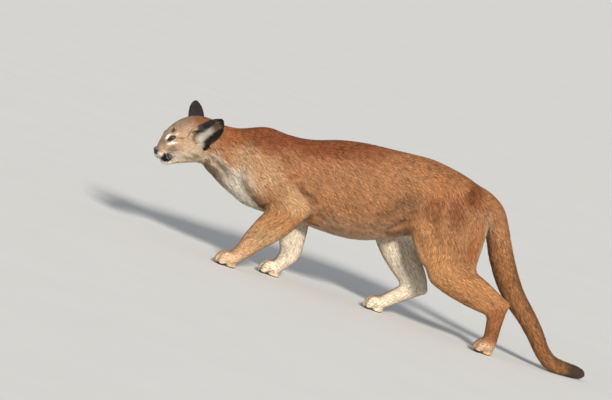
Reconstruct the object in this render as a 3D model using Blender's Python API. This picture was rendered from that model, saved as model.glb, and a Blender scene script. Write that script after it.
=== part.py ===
"""A life-size cougar walking low over level ground, with its head turned a little to its left.

The animal faces -X, its left side is -Y, and up is +Z. All sizes are metres and include the coat.
The flesh is made of closed forms that follow the bones, joined by a voxel remesh, smoothed and thinned.
Eye openings, mouth and nostrils are then cut, ears and nose are set on the head, and thin cuts part the
body into its named nodes.
"""

import math

import bmesh
import bpy
import numpy as np
from mathutils import Matrix, Vector
from mathutils.bvhtree import BVHTree

# Width of every cut, and the size and smoothing of the skin that joins the forms
GAP = 0.0003
VOXEL = 0.0036
# Where the fine forms of the head end, in its own frame, and those of the paws, above the ground
FINE_HEAD_END = (0.035, 0.075)
FINE_PAW_END = (0.055, 0.085)
# Where the broad forms of the trunk begin above the ground, and behind where they end
BROAD_START = (0.19, 0.29)
BROAD_END_X = 0.78
TAIL_LOW_X = 0.95
NECK_X = -0.15
RING_SIDES = 28
FINE_ROUNDS = 15
LIMB_ROUNDS = 20
TRUNK_ROUNDS = 110
# Share of the skin's triangles that is kept, and how strongly they stay on the head and the paws
THIN_SHARE = 0.0260
KEEP_FACTOR = 0.003
KEEP_MOST = 0.9

# Torso and neck: place along X, top, underside, half width, and how much wider the upper half is
TRUNK = (
    (-0.245, 0.437, 0.292, 0.058, 0.00),
    (-0.200, 0.447, 0.268, 0.066, 0.00),
    (-0.155, 0.453, 0.242, 0.073, 0.02),
    (-0.110, 0.474, 0.224, 0.082, 0.00),
    (-0.060, 0.491, 0.206, 0.093, -0.04),
    (0.010, 0.486, 0.204, 0.105, -0.02),
    (0.090, 0.496, 0.208, 0.113, 0.04),
    (0.180, 0.527, 0.211, 0.118, 0.06),
    (0.270, 0.546, 0.211, 0.120, 0.04),
    (0.350, 0.554, 0.222, 0.115, 0.00),
    (0.430, 0.562, 0.252, 0.104, 0.00),
    (0.500, 0.567, 0.288, 0.097, 0.04),
    (0.580, 0.558, 0.316, 0.097, 0.08),
    (0.650, 0.543, 0.343, 0.089, 0.08),
    (0.705, 0.519, 0.383, 0.067, 0.04),
    (0.735, 0.499, 0.420, 0.040, 0.00),
)

# Tail: centre and radius along its length. It comes down behind the heels and lies on the ground
TAIL = (
    (0.690, 0.000, 0.488, 0.047),
    (0.745, 0.000, 0.462, 0.046),
    (0.785, 0.000, 0.405, 0.045),
    (0.822, 0.000, 0.336, 0.045),
    (0.874, 0.000, 0.257, 0.043),
    (0.924, 0.000, 0.202, 0.039),
    (0.978, 0.002, 0.157, 0.035),
    (1.028, 0.010, 0.108, 0.032),
    (1.068, 0.024, 0.062, 0.029),
    (1.110, 0.044, 0.032, 0.029),
    (1.158, 0.070, 0.024, 0.028),
    (1.200, 0.100, 0.022, 0.026),
    (1.232, 0.132, 0.020, 0.020),
)

# Joints of each leg, from the body down. The left legs are nearest the viewer
FORELEGS = {
    "left": {
        "blade": (-0.060, -0.060, 0.435),
        "shoulder": (-0.055, -0.084, 0.330),
        "elbow": (0.128, -0.090, 0.256),
        "wrist": (0.006, -0.086, 0.092),
        "ball": (-0.036, -0.089, 0.031),
        "heading": (-1.0, -0.10, 0.0),
    },
    "right": {
        "blade": (-0.045, 0.060, 0.435),
        "shoulder": (-0.050, 0.084, 0.330),
        "elbow": (0.130, 0.090, 0.272),
        "wrist": (0.152, 0.087, 0.094),
        "ball": (0.118, 0.089, 0.031),
        "heading": (-1.0, 0.08, 0.0),
    },
}
HINDLEGS = {
    "left": {
        "hip": (0.645, -0.062, 0.435),
        "knee": (0.640, -0.096, 0.226),
        "ankle": (0.868, -0.088, 0.164),
        "heel": (0.890, -0.087, 0.180),
        "ball": (0.882, -0.090, 0.031),
        "heading": (-1.0, -0.06, 0.0),
    },
    "right": {
        "hip": (0.605, 0.062, 0.435),
        "knee": (0.442, 0.096, 0.277),
        "ankle": (0.598, 0.088, 0.128),
        "heel": (0.620, 0.087, 0.122),
        "ball": (0.494, 0.090, 0.032),
        "heading": (-1.0, 0.06, 0.0),
    },
}
# Half widths across the body and half depths of each length of a leg, at even places along it
LEG_SECTIONS = {
    "blade": ((0.030, 0.038, 0.044, 0.046), (0.042, 0.060, 0.066, 0.062)),
    "upper arm": ((0.044, 0.045, 0.042, 0.037), (0.062, 0.068, 0.062, 0.050)),
    "forearm": ((0.040, 0.041, 0.038, 0.034, 0.032), (0.056, 0.058, 0.055, 0.047, 0.038)),
    "fore cannon": ((0.032, 0.035, 0.040), (0.034, 0.029, 0.022)),
    "thigh": ((0.050, 0.054, 0.050, 0.040), (0.098, 0.100, 0.088, 0.060)),
    "shank": ((0.042, 0.040, 0.035, 0.029, 0.027), (0.060, 0.063, 0.060, 0.053, 0.040)),
    "heel": ((0.024, 0.022, 0.020), (0.028, 0.024, 0.020)),
    "hind cannon": ((0.027, 0.025, 0.027, 0.035), (0.035, 0.030, 0.026, 0.023)),
}
FOREARM_TOP = Vector((-0.026, 0.0, -0.004))
FOREARM_END = Vector((-0.003, 0.0, 0.004))
ELBOW_POINT = (Vector((0.022, 0.002, 0.012)), (0.022, 0.018, 0.024))
# Muscles behind the thighs, and the fold of skin before the left one: both ends, half widths, half depths
HAUNCHES = (
    ((0.705, -0.060, 0.430), (0.715, -0.088, 0.262), (0.046, 0.046, 0.036), (0.050, 0.048, 0.044)),
    ((0.520, -0.068, 0.400), (0.600, -0.092, 0.250), (0.030, 0.032, 0.030), (0.060, 0.062, 0.050)),
    ((0.690, 0.060, 0.430), (0.600, 0.080, 0.270), (0.046, 0.046, 0.034), (0.050, 0.052, 0.044)),
)
# Toes: place across the paw in toe widths, and reach before the ball of the foot
TOES = ((-1.5, 0.036), (-0.5, 0.050), (0.5, 0.050), (1.5, 0.036))
TOE_PITCH = 0.0195
TOE_SPREAD = 0.0215
# Half width and half height of a toe at its root, its knuckle and its tip, and the height of its tip
TOE_SECTIONS = ((0.0130, 0.0165), (0.0125, 0.0175), (0.0115, 0.0140))
TOE_TIP_HEIGHT = 0.0105
TOE_ROOT_AHEAD = 0.004
KNUCKLE_SHARE = 0.55
KNUCKLE_RISE = 0.004
# The sole pad: place before the ball of the foot, height of its middle, and radii
SOLE_AHEAD = 0.002
SOLE_HEIGHT = 0.007
SOLE = (0.026, 0.031, 0.013)
HIND_PAW_SCALE = 0.93

# The head is shaped level and facing -X about its own origin, then turned and set on the neck
HEAD_AT = Vector((-0.283, -0.006, 0.3735))
HEAD_PITCH = math.radians(19.0)
HEAD_YAW = math.radians(19.0)
# Face and skull, then jaw: place along X, top, underside, half width, and how much wider the upper half is
FACE = (
    (-0.144, -0.036, -0.047, 0.011, 0.0),
    (-0.140, -0.028, -0.060, 0.025, -0.10),
    (-0.134, -0.012, -0.068, 0.036, -0.35),
    (-0.125, 0.005, -0.072, 0.041, -0.45),
    (-0.110, 0.025, -0.074, 0.043, -0.45),
    (-0.092, 0.043, -0.077, 0.048, -0.30),
    (-0.070, 0.057, -0.079, 0.060, -0.16),
    (-0.042, 0.069, -0.081, 0.069, -0.08),
    (-0.010, 0.0755, -0.082, 0.073, -0.03),
    (0.025, 0.073, -0.082, 0.071, 0.0),
    (0.060, 0.062, -0.082, 0.065, 0.0),
    (0.090, 0.048, -0.078, 0.053, 0.0),
)
JAW = (
    (-0.126, -0.068, -0.079, 0.012, 0.0),
    (-0.119, -0.064, -0.087, 0.020, 0.0),
    (-0.102, -0.058, -0.091, 0.026, 0.0),
    (-0.076, -0.050, -0.087, 0.034, 0.0),
    (-0.038, -0.040, -0.086, 0.045, 0.0),
    (0.010, -0.030, -0.086, 0.050, 0.0),
)
# Rounded masses of the head: centre and radii. Those beside the middle are on both sides
CHIN = ((-0.110, 0.0, -0.077), (0.018, 0.019, 0.014))
SIDE_MASSES = {
    "cheek": ((-0.034, 0.045, -0.030), (0.052, 0.028, 0.040)),
    "lip": ((-0.119, 0.024, -0.050), (0.027, 0.021, 0.020)),
    "brow": ((-0.084, 0.026, 0.015), (0.030, 0.019, 0.015)),
    "bridge": ((-0.096, 0.017, -0.004), (0.026, 0.016, 0.018)),
    "temple": ((-0.072, 0.036, 0.004), (0.030, 0.020, 0.026)),
    "eye": ((-0.0915, 0.0315, 0.0015), (0.0168, 0.0168, 0.0160)),
}
EYE_CENTRE = Vector((-0.0915, 0.0315, 0.0015))
EYE_RADIUS = 0.0135
EYE_GAZE = Vector((-0.82, 0.55, 0.06))
EYE_OPENING = (0.0130, 0.0068, 0.0050)
EYE_SLANT = math.radians(16.0)
# Mouth line round the muzzle: turn from straight ahead in degrees, and height
MOUTH_AXIS_X = -0.108
MOUTH = ((0, -0.0620), (25, -0.0655), (50, -0.0700), (75, -0.0695), (100, -0.0635), (122, -0.0560))
MOUTH_HALF_GAP = 0.0010
MOUTH_DEPTH = 0.0045
# Ears, in the head's frame: base, direction of the tip, and direction of the opening. The left ear is turned
# down and back, so that its cup faces the ground beside it
EARS = {
    "left": ((-0.012, -0.069, 0.003), (0.66, -0.49, 0.62), (-0.16, -0.85, -0.50)),
    "right": ((0.003, 0.029, 0.021), (0.10, 0.22, 0.97), (-0.52, 0.85, 0.05)),
}
EAR_LENGTH = 0.104
# Ear sections: share of the length, half width to the front rim and to the rear rim, cup depth, and how far
# the wall turns round the cup to each rim, in degrees. The left ear's front rim rolls in over its cup
EAR_SECTIONS = {
    "left": (
        (-0.30, 0.028, 0.036, 0.018, 95, 104),
        (0.00, 0.042, 0.044, 0.025, 100, 116),
        (0.25, 0.038, 0.048, 0.027, 120, 104),
        (0.50, 0.032, 0.047, 0.026, 140, 92),
        (0.70, 0.026, 0.039, 0.020, 140, 86),
        (0.85, 0.018, 0.027, 0.013, 130, 84),
        (0.95, 0.010, 0.014, 0.007, 115, 84),
        (1.00, 0.005, 0.006, 0.004, 100, 84),
    ),
    "right": (
        (-0.30, 0.023, 0.023, 0.016, 100, 92),
        (0.00, 0.036, 0.036, 0.026, 100, 92),
        (0.25, 0.039, 0.039, 0.026, 100, 92),
        (0.50, 0.039, 0.039, 0.021, 100, 92),
        (0.70, 0.035, 0.035, 0.016, 100, 92),
        (0.85, 0.027, 0.027, 0.010, 100, 92),
        (0.95, 0.016, 0.016, 0.006, 100, 92),
        (1.00, 0.007, 0.007, 0.003, 100, 92),
    ),
}
EAR_WALL = 0.0042
# The hollow that carries each cup on into the head: place across, out of and along the ear, and radii
EAR_HOLLOWS = {
    "left": ((0.000, 0.002, 0.012), (0.038, 0.023, 0.036)),
    "right": ((0.000, -0.003, 0.014), (0.024, 0.017, 0.030)),
}
# Nose pad: centre and radii of its masses, on both sides where y isn't zero, and of its nostrils
NOSE_MASSES = (
    ((-0.1385, 0.0, -0.0350), (0.0125, 0.0175, 0.0085)),
    ((-0.1395, 0.0, -0.0450), (0.0120, 0.0105, 0.0095)),
    ((-0.1385, 0.0110, -0.0395), (0.0115, 0.0080, 0.0080)),
)
NOSTRIL = ((-0.1515, 0.0088, -0.0405), (0.0052, 0.0040, 0.0034))
NOSE_VOXEL = 0.0014
NOSE_SHARE = 0.12

# Thin cuts: centre, direction across the cut, radius
CUTS = (
    ((-0.228, 0.0, 0.370), (0.985, 0.0, -0.17), 0.12),
    ((-0.138, 0.0, 0.350), (0.995, 0.0, 0.10), 0.17),
    ((0.800, 0.0, 0.380), (0.44, 0.0, -0.90), 0.060),
    ((0.898, 0.0, 0.230), (0.67, 0.0, -0.74), 0.055),
    ((1.068, 0.024, 0.062), (0.66, 0.24, -0.71), 0.050),
)
# The cuts that free each leg: its side, how far the inner face lies from the middle, and the outline
LEG_CUT_REACH = 0.22
LEG_CUTS = {
    "foreleg_left": (
        -1, 0.043,
        ((-0.112, 0.330), (-0.096, 0.400), (-0.045, 0.438), (0.025, 0.412), (0.110, 0.352), (0.190, 0.300),
         (0.205, 0.240), (0.130, 0.100), (0.120, -0.030), (-0.140, -0.030), (-0.135, 0.080), (-0.040, 0.180),
         (-0.020, 0.222), (-0.078, 0.262)),
    ),
    "foreleg_right": (
        1, 0.043,
        ((-0.108, 0.330), (-0.090, 0.400), (-0.040, 0.438), (0.030, 0.412), (0.115, 0.360), (0.192, 0.312),
         (0.212, 0.250), (0.205, 0.100), (0.205, -0.030), (0.030, -0.030), (0.030, 0.090), (0.080, 0.170),
         (0.040, 0.210), (-0.050, 0.240)),
    ),
    "hindleg_left": (
        -1, 0.030,
        ((0.418, 0.262), (0.452, 0.345), (0.500, 0.430), (0.560, 0.495), (0.640, 0.512), (0.710, 0.472),
         (0.748, 0.420), (0.764, 0.370), (0.788, 0.320), (0.848, 0.248), (0.904, 0.200), (0.935, 0.130),
         (0.935, -0.030), (0.790, -0.030), (0.790, 0.090), (0.640, 0.120), (0.540, 0.200)),
    ),
    "hindleg_right": (
        1, 0.030,
        ((0.375, 0.250), (0.410, 0.350), (0.480, 0.430), (0.545, 0.495), (0.625, 0.512), (0.705, 0.472),
         (0.745, 0.420), (0.757, 0.370), (0.750, 0.310), (0.700, 0.210), (0.680, 0.120), (0.660, -0.030),
         (0.400, -0.030), (0.400, 0.090), (0.430, 0.150), (0.395, 0.200)),
    ),
}
GROUND = (2.4, 1.0, 0.2)
GROUND_MIDDLE_X = 0.4
# A point on the skin of each node that the cuts part from the body
SEEDS = {
    "head": (-0.330, 0.0, 0.440),
    "neck": (-0.180, 0.0, 0.450),
    "torso": (0.300, 0.0, 0.550),
    "foreleg_left": (0.006, -0.110, 0.092),
    "foreleg_right": (0.152, 0.110, 0.094),
    "hindleg_left": (0.868, -0.110, 0.164),
    "hindleg_right": (0.598, 0.110, 0.128),
    "tail_upper": (0.874, 0.0, 0.290),
    "tail_middle": (1.000, 0.0, 0.165),
    "tail_tip": (1.180, 0.085, 0.050),
}
FINISHES = {
    "coat": ((0.46, 0.29, 0.16), 0.85),
    "ear": ((0.12, 0.10, 0.09), 0.85),
    "tail_tip": ((0.20, 0.13, 0.09), 0.85),
    "nose": ((0.16, 0.11, 0.10), 0.45),
    "eye": ((0.25, 0.16, 0.06), 0.10),
}


def material(name, colour, roughness):
    """A plain finish for one kind of surface."""
    made = bpy.data.materials.new(name)
    made.use_nodes = True
    shader = made.node_tree.nodes["Principled BSDF"]
    shader.inputs["Base Color"].default_value = (*colour, 1.0)
    shader.inputs["Roughness"].default_value = roughness
    shader.inputs["Metallic"].default_value = 0.0
    return made


def smooth_stations(stations, steps):
    """Points on a Catmull-Rom curve through the stations, each a row of numbers."""
    rows = np.array(stations, float)
    rows = np.vstack([2 * rows[0] - rows[1], rows, 2 * rows[-1] - rows[-2]])
    made = []
    for i in range(1, len(rows) - 2):
        p0, p1, p2, p3 = rows[i - 1 : i + 3]
        for t in np.linspace(0.0, 1.0, steps, endpoint=False):
            made.append(
                0.5 * (2 * p1 + (p2 - p0) * t + (2 * p0 - 5 * p1 + 4 * p2 - p3) * t**2
                       + (3 * p1 - p0 - 3 * p2 + p3) * t**3)
            )
    made.append(rows[-2])
    return made


def bridge_rings(mesh, rings):
    """Joins rings of vertices into one closed skin."""
    loops = [[mesh.verts.new(p) for p in ring] for ring in rings]
    for a, b in zip(loops, loops[1:]):
        for i in range(len(a)):
            j = (i + 1) % len(a)
            mesh.faces.new((a[i], a[j], b[j], b[i]))
    mesh.faces.new(loops[0][::-1])
    mesh.faces.new(loops[-1])


def barrel(mesh, stations, matrix=Matrix.Identity(4), steps=5):
    """A form with upright sections along X: place, top, underside, half width, upper swell."""
    rings = []
    for x, top, under, half, swell in smooth_stations(stations, steps):
        middle, rise = (top + under) / 2, (top - under) / 2
        ring = []
        for k in range(RING_SIDES):
            turn = 2 * math.pi * k / RING_SIDES
            y = half * math.sin(turn) * (1 + swell * math.cos(turn))
            ring.append(matrix @ Vector((x, y, middle + rise * math.cos(turn))))
        rings.append(ring)
    bridge_rings(mesh, rings)


def tube(mesh, stations, side=Vector((0, 1, 0)), steps=4, sides=RING_SIDES):
    """A form along a path: x, y, z, half width across the body, half depth. Its ends are round."""
    rows = smooth_stations(stations, steps)
    points = [Vector(r[:3]) for r in rows]
    rings = []
    for i, row in enumerate(rows):
        along = (points[min(i + 1, len(rows) - 1)] - points[max(i - 1, 0)]).normalized()
        across = (side - along * side.dot(along)).normalized()
        deep = along.cross(across)
        caps = ((1.0, 0.0),)
        if i == 0:
            caps = ((0.35, -0.9), (0.75, -0.62), (1.0, 0.0))
        if i == len(rows) - 1:
            caps = ((1.0, 0.0), (0.75, 0.62), (0.35, 0.9))
        for share, push in caps:
            centre = points[i] + along * push * min(row[3], row[4])
            ring = []
            for k in range(sides):
                turn = 2 * math.pi * k / sides
                out = across * row[3] * math.cos(turn) + deep * row[4] * math.sin(turn)
                ring.append(centre + out * share)
            rings.append(ring)
    bridge_rings(mesh, rings)


def limb(mesh, start, end, widths, depths):
    """A tube from one place to the next, with half widths and half depths at even places along it."""
    start, end = Vector(start), Vector(end)
    last = len(widths) - 1
    tube(mesh, [(*start.lerp(end, i / last), widths[i], depths[i]) for i in range(last + 1)])


def bone(mesh, start, end, kind):
    limb(mesh, start, end, *LEG_SECTIONS[kind])


def ball(mesh, centre, radii, matrix=Matrix.Identity(4), sides=RING_SIDES):
    """An ellipsoid."""
    place = matrix @ Matrix.Translation(Vector(centre)) @ Matrix.Diagonal((*radii, 1.0))
    bmesh.ops.create_uvsphere(mesh, u_segments=sides, v_segments=sides // 2, radius=1.0, matrix=place)


def head_matrix():
    return (
        Matrix.Translation(HEAD_AT)
        @ Matrix.Rotation(-HEAD_PITCH, 4, "Y")
        @ Matrix.Rotation(HEAD_YAW, 4, "Z")
    )


def mirrored(vector, s):
    return Vector((vector[0], s * vector[1], vector[2]))


def head_forms(mesh):
    """Skull, brow, cheeks, muzzle, jaw and the mounds of the eyes."""
    m = head_matrix()
    barrel(mesh, FACE, m)
    barrel(mesh, JAW, m)
    ball(mesh, *CHIN, m)
    for centre, radii in SIDE_MASSES.values():
        for s in (-1, 1):
            ball(mesh, mirrored(centre, s), radii, m)


def paw_forms(mesh, joints, scale):
    """Four toes, their pads and the sole pad, in front of the ball of the foot."""
    forward = Vector(joints["heading"]).normalized()
    side = Vector((0, 0, 1)).cross(forward).normalized()
    centre = Vector(joints["ball"])
    for place, reach in TOES:
        root = centre + side * place * TOE_PITCH * scale + forward * TOE_ROOT_AHEAD
        knuckle = root + forward * reach * KNUCKLE_SHARE * scale + Vector((0, 0, KNUCKLE_RISE))
        tip = centre + side * place * TOE_SPREAD * scale + forward * reach * scale
        tip.z = TOE_TIP_HEIGHT
        stations = []
        for point, (half, rise) in zip((root, knuckle, tip), TOE_SECTIONS):
            stations.append((*point, half * scale, rise * scale))
        tube(mesh, stations, side)
    sole = Vector((centre.x, centre.y, SOLE_HEIGHT)) + forward * SOLE_AHEAD
    ball(mesh, sole, (SOLE[0] * scale, SOLE[1] * scale, SOLE[2]))


def foreleg_forms(mesh, joints):
    s = math.copysign(1, joints["elbow"][1])
    blade, shoulder, elbow, wrist = (Vector(joints[k]) for k in ("blade", "shoulder", "elbow", "wrist"))
    bone(mesh, blade, shoulder, "blade")
    bone(mesh, shoulder, elbow, "upper arm")
    bone(mesh, elbow + FOREARM_TOP, wrist + FOREARM_END, "forearm")
    point, radii = ELBOW_POINT
    ball(mesh, elbow + mirrored(point, s), radii)
    bone(mesh, wrist, joints["ball"], "fore cannon")
    paw_forms(mesh, joints, 1.0)


def hindleg_forms(mesh, joints):
    hip, knee, ankle, heel = (Vector(joints[k]) for k in ("hip", "knee", "ankle", "heel"))
    bone(mesh, hip, knee, "thigh")
    bone(mesh, knee, ankle, "shank")
    bone(mesh, ankle, heel, "heel")
    bone(mesh, ankle, joints["ball"], "hind cannon")
    paw_forms(mesh, joints, HIND_PAW_SCALE)


def new_object(name, mesh):
    """An object in the scene from a bmesh, which is freed."""
    bmesh.ops.recalc_face_normals(mesh, faces=mesh.faces)
    data = bpy.data.meshes.new(name)
    mesh.to_mesh(data)
    mesh.free()
    made = bpy.data.objects.new(name, data)
    bpy.context.scene.collection.objects.link(made)
    return made


def flesh():
    """All forms of the body in one mesh."""
    mesh = bmesh.new()
    barrel(mesh, TRUNK)
    tube(mesh, [(x, y, z, r, r) for x, y, z, r in TAIL])
    head_forms(mesh)
    for joints in FORELEGS.values():
        foreleg_forms(mesh, joints)
    for joints in HINDLEGS.values():
        hindleg_forms(mesh, joints)
    for start, end, widths, depths in HAUNCHES:
        limb(mesh, start, end, widths, depths)
    return new_object("flesh", mesh)


def applied(obj):
    """Replaces the object's mesh by the mesh its modifiers give."""
    graph = bpy.context.evaluated_depsgraph_get()
    data = bpy.data.meshes.new_from_object(obj.evaluated_get(graph))
    obj.modifiers.clear()
    old = obj.data
    obj.data = data
    bpy.data.meshes.remove(old)
    return obj


def fused(obj, voxel):
    """One closed skin over the forms."""
    remesh = obj.modifiers.new("fuse", "REMESH")
    remesh.mode = "VOXEL"
    remesh.voxel_size = voxel
    return applied(obj)


def ramp(value, low, high):
    """0 up to low, 1 from high on, and a straight rise between."""
    return min(max((value - low) / (high - low), 0.0), 1.0)


def detail_share(point):
    """1 on the head and three quarters on the paws, which keep fine forms, and 0 on the body's broad ones."""
    local = head_matrix().inverted() @ point
    head = 1.0 - ramp(local.x, *FINE_HEAD_END) if point.x < NECK_X else 0.0
    paw = 1.0 - ramp(point.z, *FINE_PAW_END) if point.x < TAIL_LOW_X else 0.0
    return max(head, 0.75 * paw)


def trunk_share(point):
    """1 on the trunk, shoulders and haunches, where muscles blend broadly, and 0 on the lower legs."""
    return ramp(point.z, *BROAD_START) * (1.0 - detail_share(point)) if point.x < BROAD_END_X else 0.0


def softened(obj, name, iterations, weight):
    """Smooths the object's mesh, by each point's weight."""
    group = obj.vertex_groups.new(name=name)
    for vertex in obj.data.vertices:
        share = weight(vertex.co)
        if share > 0:
            group.add([vertex.index], share, "REPLACE")
    smooth = obj.modifiers.new(name, "SMOOTH")
    smooth.factor = 0.5
    smooth.iterations = iterations
    smooth.vertex_group = name
    applied(obj)
    obj.vertex_groups.clear()


def thinned(obj, share):
    """Fewer triangles, with more of them left on the head and the paws."""
    group = obj.vertex_groups.new(name="keep")
    for vertex in obj.data.vertices:
        group.add([vertex.index], KEEP_MOST * detail_share(vertex.co), "REPLACE")
    thin = obj.modifiers.new("thin", "DECIMATE")
    thin.ratio = share
    thin.vertex_group = "keep"
    thin.invert_vertex_group = True
    thin.vertex_group_factor = KEEP_FACTOR
    applied(obj)
    obj.vertex_groups.clear()


def cutter(name, mesh):
    """A helper object that isn't part of the animal."""
    made = new_object(name, mesh)
    made.hide_render = True
    made.display_type = "WIRE"
    return made


def cut_by(obj, cutters):
    """Takes the cutters away from the object, and removes them."""
    group = bpy.data.collections.new("cutters")
    bpy.context.scene.collection.children.link(group)
    for item in cutters:
        group.objects.link(item)
    boolean = obj.modifiers.new("cut", "BOOLEAN")
    boolean.operation = "DIFFERENCE"
    boolean.solver = "EXACT"
    boolean.operand_type = "COLLECTION"
    boolean.collection = group
    applied(obj)
    for item in cutters:
        bpy.data.objects.remove(item)
    bpy.data.collections.remove(group)
    return obj


def copied(obj):
    made = obj.copy()
    made.data = obj.data.copy()
    bpy.context.scene.collection.objects.link(made)
    return made


def grown(obj, distance):
    """A copy of the object whose skin lies further out, to cut its neighbours clear of it."""
    made = copied(obj)
    push = made.modifiers.new("grow", "DISPLACE")
    push.strength = distance
    push.mid_level = 0.0
    return applied(made)


def islands(mesh):
    """The separate closed surfaces of a bmesh, each a set of faces, largest first."""
    left = set(mesh.faces)
    found = []
    while left:
        front = [left.pop()]
        group = set(front)
        while front:
            face = front.pop()
            for edge in face.edges:
                for other in edge.link_faces:
                    if other in left:
                        left.remove(other)
                        group.add(other)
                        front.append(other)
        found.append(group)
    return sorted(found, key=len, reverse=True)


def kept_largest(obj):
    """Only the largest closed surface of the object."""
    mesh = bmesh.new()
    mesh.from_mesh(obj.data)
    for scrap in islands(mesh)[1:]:
        bmesh.ops.delete(mesh, geom=list(scrap), context="FACES")
    mesh.to_mesh(obj.data)
    mesh.free()
    return obj


def eye_frame(s):
    """Where an eye sits in the head: its centre, and its axes outward, up and ahead."""
    ahead = mirrored(EYE_GAZE, s).normalized()
    up = (Vector((0, 0, 1)) - ahead * ahead.z).normalized()
    out = ahead.cross(up) * s
    lifted = out * math.cos(EYE_SLANT) + up * math.sin(EYE_SLANT)
    raised = up * math.cos(EYE_SLANT) - out * math.sin(EYE_SLANT)
    return mirrored(EYE_CENTRE, s), lifted, raised, ahead


def eye_cutters(s, name):
    """The eye's socket, and the almond opening between its lids."""
    centre, out, up, ahead = eye_frame(s)
    half, upper, lower = EYE_OPENING
    socket = bmesh.new()
    ball(socket, centre, [EYE_RADIUS + GAP] * 3, head_matrix(), 24)
    outline = []
    steps = 8
    for i in range(-steps, steps):
        t = i / steps
        outline.append((t * half, upper * (1 - t * t) ** 0.75))
    for i in range(steps, -steps, -1):
        t = i / steps
        outline.append((t * half, -lower * (1 - t * t)))
    opening = bmesh.new()
    rings = []
    for reach, spread in ((0.35 * EYE_RADIUS, 0.85), (1.0 * EYE_RADIUS, 1.0), (2.4 * EYE_RADIUS, 1.5)):
        rings.append([
            head_matrix() @ (centre + ahead * reach + out * a * spread + up * b * spread) for a, b in outline
        ])
    bridge_rings(opening, rings)
    return [cutter(name + "_socket", socket), cutter(name + "_opening", opening)]


def mouth_cutter(body):
    """A narrow groove round the muzzle, which parts the lips."""
    mesh = bmesh.new()
    mesh.from_mesh(body.data)
    tree = BVHTree.FromBMesh(mesh)
    mesh.free()
    m = head_matrix()
    turn = m.to_3x3()
    path = []
    sides = [(-a, z) for a, z in reversed(MOUTH[1:])] + list(MOUTH)
    for degrees, height in smooth_stations(sides, 3):
        a = math.radians(degrees)
        start = m @ Vector((MOUTH_AXIS_X, 0, height))
        away = turn @ Vector((-math.cos(a), math.sin(a), 0))
        hit = tree.ray_cast(start, away)[0]
        path.append((*(hit - away * 0.0012), MOUTH_HALF_GAP, MOUTH_DEPTH))
    groove = bmesh.new()
    tube(groove, path, turn @ Vector((0, 0, 1)), steps=2, sides=10)
    return cutter("mouth", groove)


def disc_cutter(name, centre, direction, radius):
    mesh = bmesh.new()
    turn = Vector(direction).to_track_quat("Z", "Y").to_matrix().to_4x4()
    place = Matrix.Translation(Vector(centre)) @ turn
    bmesh.ops.create_cone(
        mesh, cap_ends=True, segments=32, radius1=radius, radius2=radius, depth=GAP, matrix=place
    )
    return cutter(name, mesh)


def leg_cutter(name, side, inner, outline):
    """A thin shell round a leg, open only to the air, which frees the leg from the trunk."""
    ring = np.array(outline)
    points = []
    for i in range(len(ring)):
        p0, p1, p2, p3 = (ring[(i + k) % len(ring)] for k in (-1, 0, 1, 2))
        for t in (0.0, 0.25, 0.5, 0.75):
            points.append(
                0.5 * (2 * p1 + (p2 - p0) * t + (2 * p0 - 5 * p1 + 4 * p2 - p3) * t**2
                       + (3 * p1 - p0 - 3 * p2 + p3) * t**3)
            )
    mesh = bmesh.new()
    near = [Vector((x, side * inner, z)) for x, z in points]
    far = [Vector((x, side * LEG_CUT_REACH, z)) for x, z in points]
    bridge_rings(mesh, [near, far])
    made = cutter(name, mesh)
    shell = made.modifiers.new("shell", "SOLIDIFY")
    shell.thickness = GAP
    shell.offset = 0.0
    shell.use_even_offset = True
    return applied(made)


def floor_cutter():
    """The ground, whose upper side gives each foot and the end of the tail a flat to rest on."""
    mesh = bmesh.new()
    length, width, depth = GROUND
    middle = Matrix.Translation((GROUND_MIDDLE_X, 0, -depth / 2))
    place = middle @ Matrix.Diagonal((length, width, depth, 1.0))
    bmesh.ops.create_cube(mesh, size=1.0, matrix=place)
    return cutter("floor", mesh)


def ear_axes(name):
    """The ear's directions in the head's frame: towards its tip, out of its cup, and across."""
    tip, opening = Vector(EARS[name][1]).normalized(), Vector(EARS[name][2])
    opening = (opening - tip * opening.dot(tip)).normalized()
    return tip, opening, tip.cross(opening)


def ear_hollow(name):
    """Carries the cup of an ear on into the head."""
    tip, opening, across = ear_axes(name)
    (aside, out, along), radii = EAR_HOLLOWS[name]
    place = Matrix((across, opening, tip)).transposed().to_4x4()
    place.translation = Vector(EARS[name][0]) + across * aside + opening * out + tip * along
    mesh = bmesh.new()
    ball(mesh, (0, 0, 0), radii, head_matrix() @ place, 16)
    return cutter("ear_hollow", mesh)


def ear(name, body_grown):
    """A cupped ear that stands on the head."""
    tip, opening, across = ear_axes(name)
    steps = 8
    rings = []
    for along, front, rear, depth, front_turn, rear_turn in smooth_stations(EAR_SECTIONS[name], 2):
        wall = min(EAR_WALL, 0.6 * front, 0.8 * depth + 0.001)
        centre = Vector(EARS[name][0]) + tip * EAR_LENGTH * along
        outer = []
        inner = []
        for i in range(steps + 1):
            a = math.radians(-front_turn + (front_turn + rear_turn) * i / steps)
            half = front if a < 0 else rear
            outer.append(centre - opening * depth * math.cos(a) + across * half * math.sin(a))
            inner.append(
                centre - opening * (depth - wall) * math.cos(a) + across * (half - 0.7 * wall) * math.sin(a)
            )
        rings.append([head_matrix() @ p for p in outer + inner[::-1]])
    mesh = bmesh.new()
    bridge_rings(mesh, rings)
    made = new_object("ear_" + name, mesh)
    made.data.materials.append(FINISH["ear"])
    cut_by(made, [copied(body_grown)])
    return kept_largest(made)


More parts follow.
